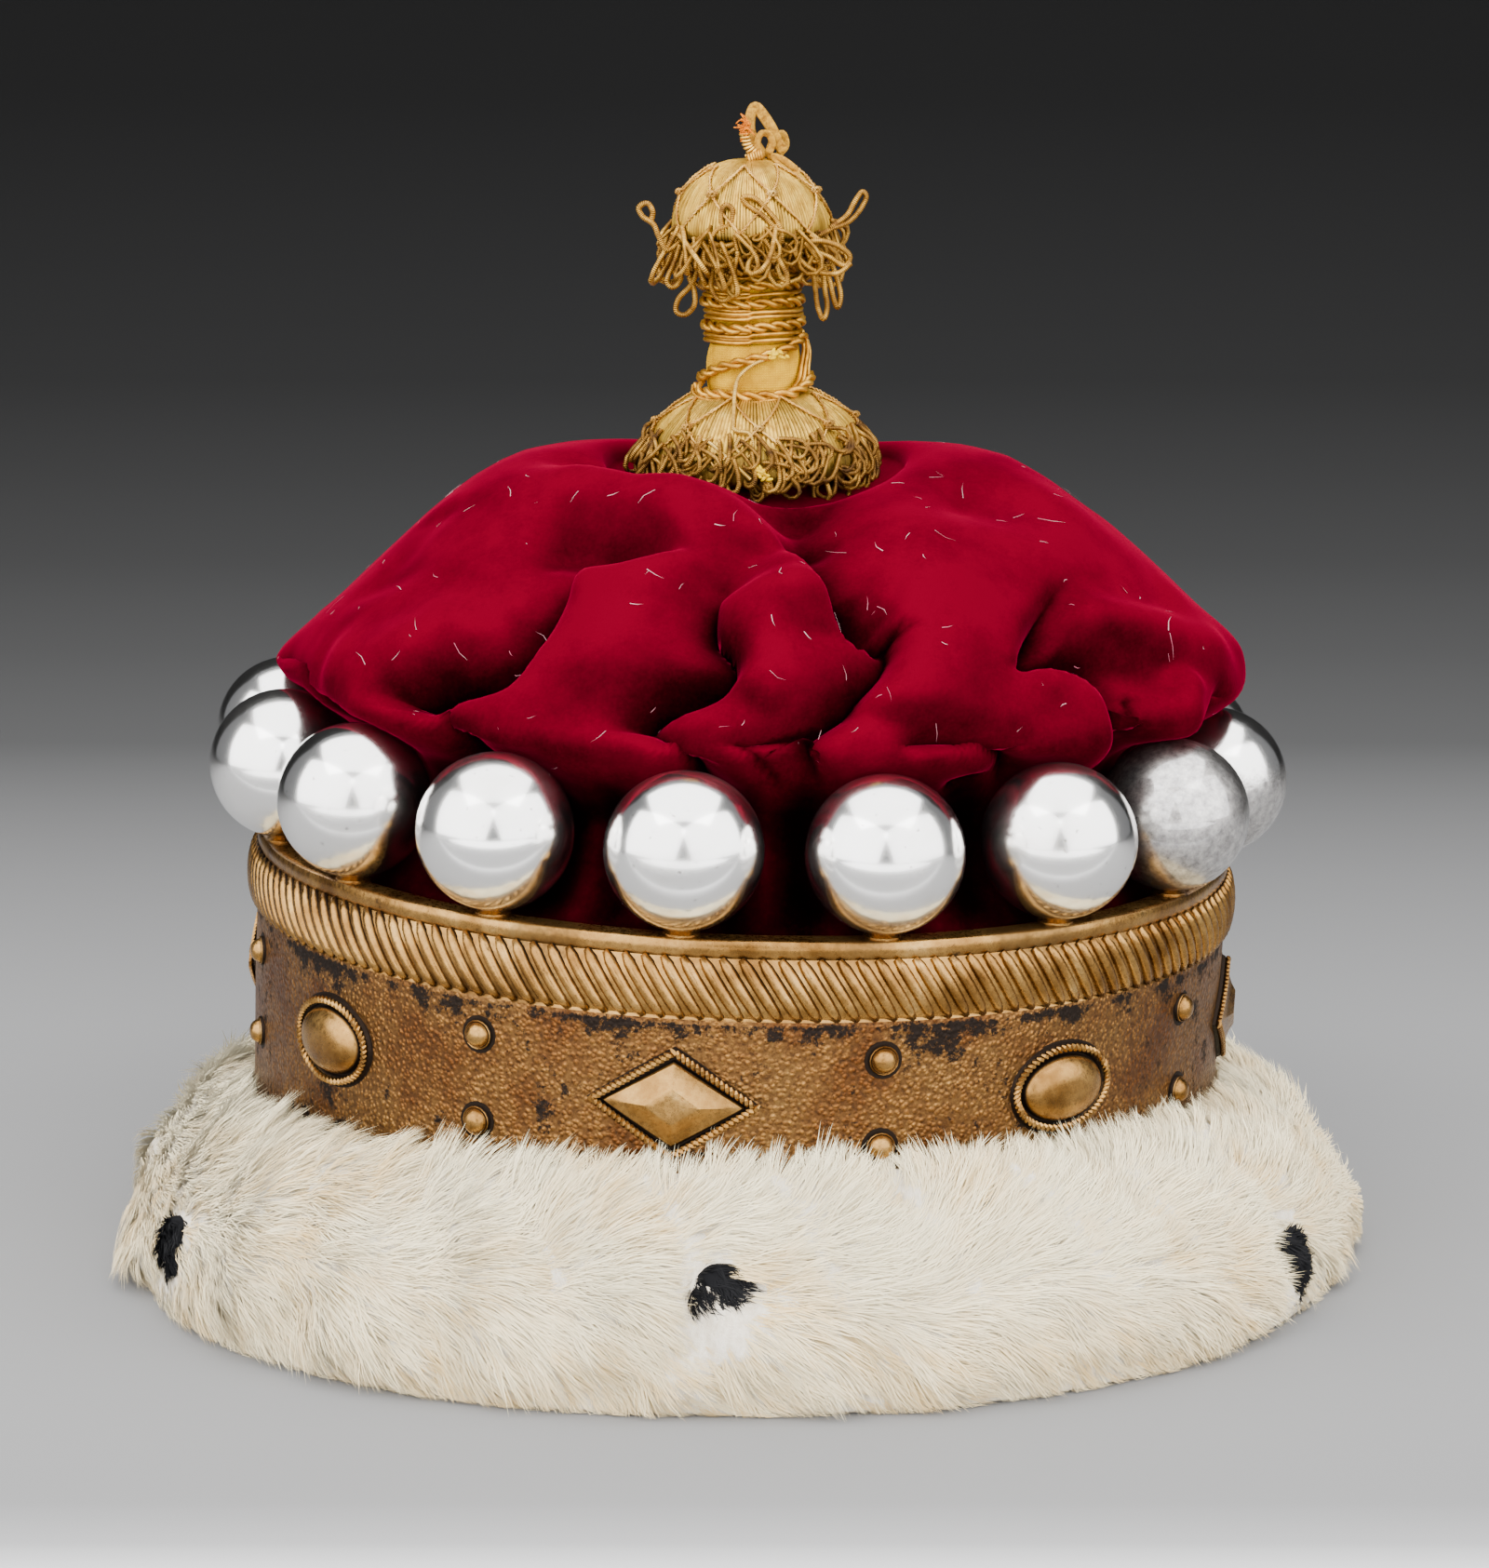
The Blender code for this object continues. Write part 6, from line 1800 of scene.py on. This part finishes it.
def make_foot(settings, dome, net, aged):
    """The lower dome with its net and its hem of loops."""
    draft = Draft()
    thread_dome(draft, BASE_DOME, settings.threads, 8, 0.62, 0.8)
    base = draft.to_piece("base_dome", dome)
    base_net = make_net(BASE_DOME, 8, (0.10, 0.44, 0.72), math.radians(2), net, "base_net")
    shapes = [loop_shape(f"loop_{index}", 6.4 + 0.6 * (index % 4), 1.7 + 0.11 * index, 0.50, index, 0.8)
              for index in range(SHAPE_COUNT)]
    rows, down = strip(((19.2, 10.9), (21.0, 8.4), (22.2, 5.6), (21.8, 3.0)))
    comb = down * 0.45 + outward_ring(rows) * 0.75
    density = settings.loops / FOOT_STRIP_AREA
    hem = fringe("base_fringe", rows, comb, density, shapes, aged, 21, 1.15, (0.70, 1.05))
    ride(in_tassel("tassel_foot_dome", [base, base_net, hem]), "gold_thread", "tassel_base")


def make_neck(cloth):
    """The cloth below the winding, a little uneven."""
    section = smooth_path(NECK_SECTION, 4)
    azimuth = np.arange(64)[None] * TURN / 64
    rows = polar(section[:, :1], azimuth, section[:, 1:])
    rows = rows + polar(1.0, azimuth, 0.0) * (0.14 * ripple(rows, 6.0, 91))[..., None]
    draft = Draft()
    draft.grid(rows, poles=(True, True))
    ride(draft.to_piece("cloth_neck", cloth, TASSEL), "yellow_cloth", "tassel_neck")


def make_winding(winding):
    """The wound rows and the cords laid over them and round the foot of the neck."""
    pieces = winding_pieces(winding)
    for name, radius, twist, path in NECK_CORDS:
        pieces.append(cord_along(neck_path(path), name, winding, radius, twist, 0.8))
    ride(in_tassel("wound_neck", pieces), "gold_thread", "neck_winding")


def make_head(settings, dome, net, bullion):
    """The upper dome with its net, its skirt of loops and the loops that stand out of it."""
    draft = Draft()
    thread_dome(draft, HEAD_DOME, settings.threads, 9, 0.80, 0.8)
    head = draft.to_piece("head_dome", dome)
    head_net = make_net(HEAD_DOME, 7, (0.22, 0.52, 0.80), math.radians(18), net, "head_net")
    shapes = [loop_shape(f"curl_{index}", 7.0 + 0.9 * (index % 5), 1.6 + 0.16 * index, 0.50, 30 + index,
                         0.9) for index in range(SHAPE_COUNT)]
    rows, down = strip(((14.8, 49.6), (15.8, 48.0), (15.6, 45.6), (13.0, 43.6), (10.6, 42.6)))
    comb = down * 0.8 + outward_ring(rows) * 0.25
    density = settings.loops * HEAD_LOOP_SHARE / HEAD_STRIP_AREA
    skirt = fringe("head_fringe", rows, comb, density, shapes, bullion, 33, 1.0, (0.55, 1.15))
    draft = Draft()
    for route in STRAY_LOOPS:
        add_thread(draft, smooth_path(route, 5), 0.55, 6)
    strays = draft.to_piece("stray_loops", bullion)
    ride(in_tassel("tassel_head_dome", [head, head_net, skirt, strays]), "gold_thread", "tassel_head")


def make_finial():
    """Ribbon loops, coiled purl and a wisp of orange floss on top of the tassel."""
    ribbon = soft_finish("flat_ribbon", (0.20, 0.080, 0.004), (0.50, 0.255, 0.020))
    coil = metal_thread_finish("purl", (0.36, 0.17, 0.02), (0.72, 0.40, 0.05), (0.88, 0.58, 0.14), 0.5)
    floss = soft_finish("orange_floss", (0.42, 0.085, 0.0), (0.66, 0.19, 0.0))
    draft = Draft()
    for number, route in enumerate(RIBBONS):
        draft.tube(smooth_path(route, 5), RIBBON_RADIUS, 8, flat=3.6 if number else 5.4)
    pieces = [draft.to_piece("ribbons", ribbon)]

    draft = Draft()
    over = np.array((0.0, 1.0, 0.0))
    for spine, turns in PURL_ENDS:
        line = smooth_path(spine, 60)
        angle = np.linspace(0.0, turns * TURN, len(line))[:, None]
        along = np.gradient(line, axis=0)
        along /= np.linalg.norm(along, axis=1)[:, None]
        coiled = line + 0.85 * (np.cos(angle) * np.cross(along, over) + np.sin(angle) * over)
        draft.tube(coiled, 0.26, 5, tone=0.1)
    pieces.append(draft.to_piece("purl_ends", coil))

    draft = Draft()
    chance = np.random.default_rng(17)
    for _ in range(34):
        start = np.array((0.1, -1.9, 67.4)) + chance.normal(0.0, 0.5, 3) * (1.0, 0.5, 1.4)
        end = start + (-1.0 - chance.random() * 0.8, chance.normal(0.0, 0.5), chance.normal(0.3, 0.9))
        middle = (start + end) / 2 + chance.normal(0.0, 0.25, 3)
        draft.tube(smooth_path((start, middle, end), 2), 0.13, 4)
    pieces.append(draft.to_piece("floss", floss))
    ride(in_tassel("ribbon_finial", pieces), "gold_thread", "finial")


def make_loose_bits():
    """The pale cords and two bits of bright yellow floss."""
    pale = metal_thread_finish("pale_cord", (0.46, 0.25, 0.04), (0.78, 0.49, 0.10), (0.92, 0.68, 0.22))
    yellow = soft_finish("bright_floss", (0.62, 0.36, 0.0), (0.80, 0.53, 0.0))
    draft = Draft()
    for route in PALE_CORDS:
        add_thread(draft, smooth_path(route, 6), 0.42, 6)
    cords = draft.to_piece("pale_loops", pale)
    draft = Draft()
    chance = np.random.default_rng(19)
    for centre, size in YELLOW_BITS:
        for _ in range(16):
            start = np.array(centre) + chance.normal(0.0, 0.35, 3) * size
            end = start + chance.normal(0.0, 0.7, 3) * size
            draft.tube((start, (start + end) / 2, end), (0.30, 0.42, 0.16), 5)
    bits = draft.to_piece("yellow_bits", yellow)
    ride(in_tassel("loose_ends", [cords, bits]), "gold_thread")


def make_tassel(settings):
    """The tassel from its foot up, with the metal threads and the cloth that its parts share."""
    bullion = metal_thread_finish("bullion", (0.15, 0.060, 0.007), (0.46, 0.230, 0.028),
                                  (0.84, 0.50, 0.09))
    aged = metal_thread_finish("aged_bullion", (0.075, 0.030, 0.005), (0.31, 0.145, 0.020),
                               (0.78, 0.44, 0.08))
    winding = metal_thread_finish("wound_cord", (0.26, 0.100, 0.006), (0.56, 0.27, 0.020),
                                  (0.88, 0.50, 0.07))
    net = metal_thread_finish("net_cord", (0.34, 0.155, 0.025), (0.56, 0.30, 0.055),
                              (0.80, 0.50, 0.13), 0.5)
    dome = dome_finish()
    make_foot(settings, dome, net, aged)
    make_neck(cloth_finish("yellow_cloth", (0.38, 0.175, 0.001), (0.74, 0.41, 0.002)))
    make_winding(winding)
    make_head(settings, dome, net, bullion)
    make_finial()
    make_loose_bits()


# Stage

def stage_finish(settings):
    """Grey paper with painted shade that darkens it with its run away from the object, as in the
    photograph.
    """
    finish = Finish("stage_paper", settings.floor, Roughness=0.8, Specular_IOR_Level=0.15)
    # Painted shade: the light's falloff along the backdrop
    greys = [(run, (grey, grey, grey * 1.01)) for run, grey in STAGE_GREYS]
    stops = [(0.0, settings.floor)] + greys
    return finish.done(finish.ramp(finish.attribute("tone"), stops))


def add_light(name, place, target, size, power):
    """A white softbox that faces its target."""
    data = bpy.data.lights.new(name, "AREA")
    data.shape = "RECTANGLE"
    data.size, data.size_y = size
    data.energy = power
    light = add_object(name, data)
    light.location = place
    direction = Vector(target) - Vector(place)
    light.rotation_euler = direction.to_track_quat("-Z", "Y").to_euler()


def make_stage(settings):
    """Pale floor that sweeps up behind, soft studio lights and the camera."""
    bend = 0.5
    curve = [(-2.4, 0.0), (-0.6, 0.0), (0.3, 0.0), (1.0, 0.0), (1.6, 0.0)]
    curve += [(1.6 + bend * math.sin(angle), bend - bend * math.cos(angle))
              for angle in np.linspace(0.1, math.pi / 2, 10)]
    curve += [(2.1, 1.2), (2.1, 2.4)]
    rows = np.array([[(x, y, z) for x in (-2.6, -1.2, 0.0, 1.2, 2.6)] for y, z in curve])
    run = run_along(rows[:, 2])
    tone = np.repeat((run - run[1] - 0.4) / 2.3, 5)
    draft = Draft(unit=1.0)
    draft.grid(rows, closed=False, tone=tone)
    draft.to_piece("backdrop", stage_finish(settings))

    for name, place, aim, size, share in LIGHTS:
        add_light(name, place, aim, size, settings.key_power * share)
    world = bpy.data.worlds.new("studio")
    world.use_nodes = True
    world.node_tree.nodes["Background"].inputs["Color"].default_value = (0.55, 0.56, 0.58, 1.0)
    world.node_tree.nodes["Background"].inputs["Strength"].default_value = settings.fill
    bpy.context.scene.world = world

    data = bpy.data.cameras.new("camera")
    data.sensor_width = SENSOR_WIDTH
    data.lens = FOCAL_PIXELS * SENSOR_WIDTH / PICTURE_HEIGHT
    data.clip_start = 0.02
    data.clip_end = 20.0
    camera = add_object("camera", data)
    away = CAMERA_DISTANCE * MM
    height = CAMERA_AIM * MM + away * math.sin(CAMERA_TILT)
    camera.location = (CAMERA_SHIFT * MM, -away * math.cos(CAMERA_TILT), height)
    camera.rotation_euler = (math.pi / 2 - CAMERA_TILT, 0.0, 0.0)
    bpy.context.scene.camera = camera


# Settings that a user would change

class CircletSettings(bpy.types.PropertyGroup):
    rope_strands: IntProperty(
        name="Rope strands", description="Oblique strands round the rope moulding", default=172, min=24)
    gilt: FloatVectorProperty(
        name="Gilt", description="Base colour of the gilding", subtype="COLOR",
        default=(0.55, 0.36, 0.14), min=0.0, max=1.0)
    tarnish: FloatProperty(
        name="Tarnish", description="How much of the dark tarnish shows", subtype="FACTOR",
        default=1.0, min=0.0, max=1.0)


class BallSettings(bpy.types.PropertyGroup):
    silver: FloatVectorProperty(
        name="Silver", description="Base colour of the polished balls", subtype="COLOR",
        default=(0.92, 0.91, 0.89), min=0.0, max=1.0)


class CapSettings(bpy.types.PropertyGroup):
    pleats: IntProperty(
        name="Pleats", description="Pleats round the waist, behind the balls", default=34, min=4)
    pleat_depth: FloatProperty(
        name="Pleat depth", description="Depth of the pleats behind the balls", subtype="DISTANCE",
        unit="LENGTH", default=2.2 * MM, min=0.0)
    velvet: FloatVectorProperty(
        name="Velvet", description="Body colour of the velvet", subtype="COLOR",
        default=(0.049, 0.0, 0.0034), min=0.0, max=1.0)
    sheen: FloatVectorProperty(
        name="Sheen", description="Colour of the pile seen along it", subtype="COLOR",
        default=(0.85, 0.0, 0.095), min=0.0, max=1.0)
    pile: FloatProperty(
        name="Pile", description="Strength of the sheen", subtype="FACTOR",
        default=0.35, min=0.0, max=1.0)


class FurSettings(bpy.types.PropertyGroup):
    hair_length: FloatProperty(
        name="Hair length", description="Usual length of the hair", subtype="DISTANCE", unit="LENGTH",
        default=11.0 * MM, min=1 * MM)
    hair_density: FloatProperty(
        name="Tufts", description="Tufts of hair to a square metre", default=4.6e5, min=0.0)
    white: FloatVectorProperty(
        name="Hair", description="Colour of the hair's tips", subtype="COLOR",
        default=(1.0, 0.89, 0.60), min=0.0, max=1.0)
    root: FloatVectorProperty(
        name="Roots", description="Colour of the hair's roots", subtype="COLOR",
        default=(0.98, 0.82, 0.51), min=0.0, max=1.0)


class TasselSettings(bpy.types.PropertyGroup):
    threads: IntProperty(
        name="Threads", description="Threads laid down each dome", default=156, min=24)
    loops: IntProperty(
        name="Loops", description="Bullion loops in the lower fringe", default=170, min=8)


class StageSettings(bpy.types.PropertyGroup):
    floor: FloatVectorProperty(
        name="Floor", description="Colour of the pale floor", subtype="COLOR",
        default=(0.26, 0.26, 0.263), min=0.0, max=1.0)
    key_power: FloatProperty(
        name="Key light", description="Power of each large softbox", subtype="POWER",
        default=68.0, min=0.0)
    fill: FloatProperty(
        name="Fill", description="Strength of the even light from all round", default=0.35, min=0.0)


class MakeStage(bpy.types.Operator):
    """Lay the pale floor and set the lights and the camera"""
    bl_idname = "coronet.make_stage"
    bl_label = "Stage"

    def execute(self, context):
        make_stage(context.scene.coronet_stage)
        return {"FINISHED"}


class MakeCirclet(bpy.types.Operator):
    """Make the gilt band with its lip, rope moulding, lozenges, ovals, studs and posts"""
    bl_idname = "coronet.make_circlet"
    bl_label = "Circlet"

    def execute(self, context):
        make_circlet(context.scene.coronet_circlet)
        return {"FINISHED"}


class MakeBalls(bpy.types.Operator):
    """Make the sixteen silver balls"""
    bl_idname = "coronet.make_balls"
    bl_label = "Silver balls"

    def execute(self, context):
        make_balls(context.scene.coronet_balls)
        return {"FINISHED"}


class MakeCap(bpy.types.Operator):
    """Make the crumpled velvet cap and the lint on it"""
    bl_idname = "coronet.make_cap"
    bl_label = "Velvet cap"

    def execute(self, context):
        make_cap(context.scene.coronet_cap)
        return {"FINISHED"}


class MakeFur(bpy.types.Operator):
    """Make the fur border, its hair and its black tails"""
    bl_idname = "coronet.make_fur"
    bl_label = "Fur border"

    def execute(self, context):
        make_fur(context.scene.coronet_fur)
        make_tails()
        return {"FINISHED"}


class MakeTassel(bpy.types.Operator):
    """Make the gold tassel with its domes, nets, fringes, wound neck and ribbon ends"""
    bl_idname = "coronet.make_tassel"
    bl_label = "Tassel"

    def execute(self, context):
        make_tassel(context.scene.coronet_tassel)
        return {"FINISHED"}


STEPS = (
    ("coronet_stage", StageSettings, MakeStage),
    ("coronet_circlet", CircletSettings, MakeCirclet),
    ("coronet_balls", BallSettings, MakeBalls),
    ("coronet_cap", CapSettings, MakeCap),
    ("coronet_fur", FurSettings, MakeFur),
    ("coronet_tassel", TasselSettings, MakeTassel),
)


class CoronetPanel(bpy.types.Panel):
    """The steps of the coronet, each with its settings"""
    bl_idname = "VIEW3D_PT_coronet"
    bl_label = "Coronet"
    bl_space_type = "VIEW_3D"
    bl_region_type = "UI"
    bl_category = "Coronet"

    def draw(self, context):
        for name, settings, operator in STEPS:
            box = self.layout.box()
            group = getattr(context.scene, name)
            for key in settings.__annotations__:
                box.prop(group, key)
            box.operator(operator.bl_idname)


def register():
    for name, settings, operator in STEPS:
        bpy.utils.register_class(settings)
        bpy.utils.register_class(operator)
        setattr(bpy.types.Scene, name, PointerProperty(type=settings))
    bpy.utils.register_class(CoronetPanel)


def unregister():
    bpy.utils.unregister_class(CoronetPanel)
    for name, settings, operator in reversed(STEPS):
        delattr(bpy.types.Scene, name)
        bpy.utils.unregister_class(operator)
        bpy.utils.unregister_class(settings)


def main():
    register()
    bpy.ops.coronet.make_stage()
    bpy.ops.coronet.make_circlet()
    bpy.ops.coronet.make_balls()
    bpy.ops.coronet.make_cap()
    bpy.ops.coronet.make_fur()
    bpy.ops.coronet.make_tassel()


if __name__ == "__main__":
    main()
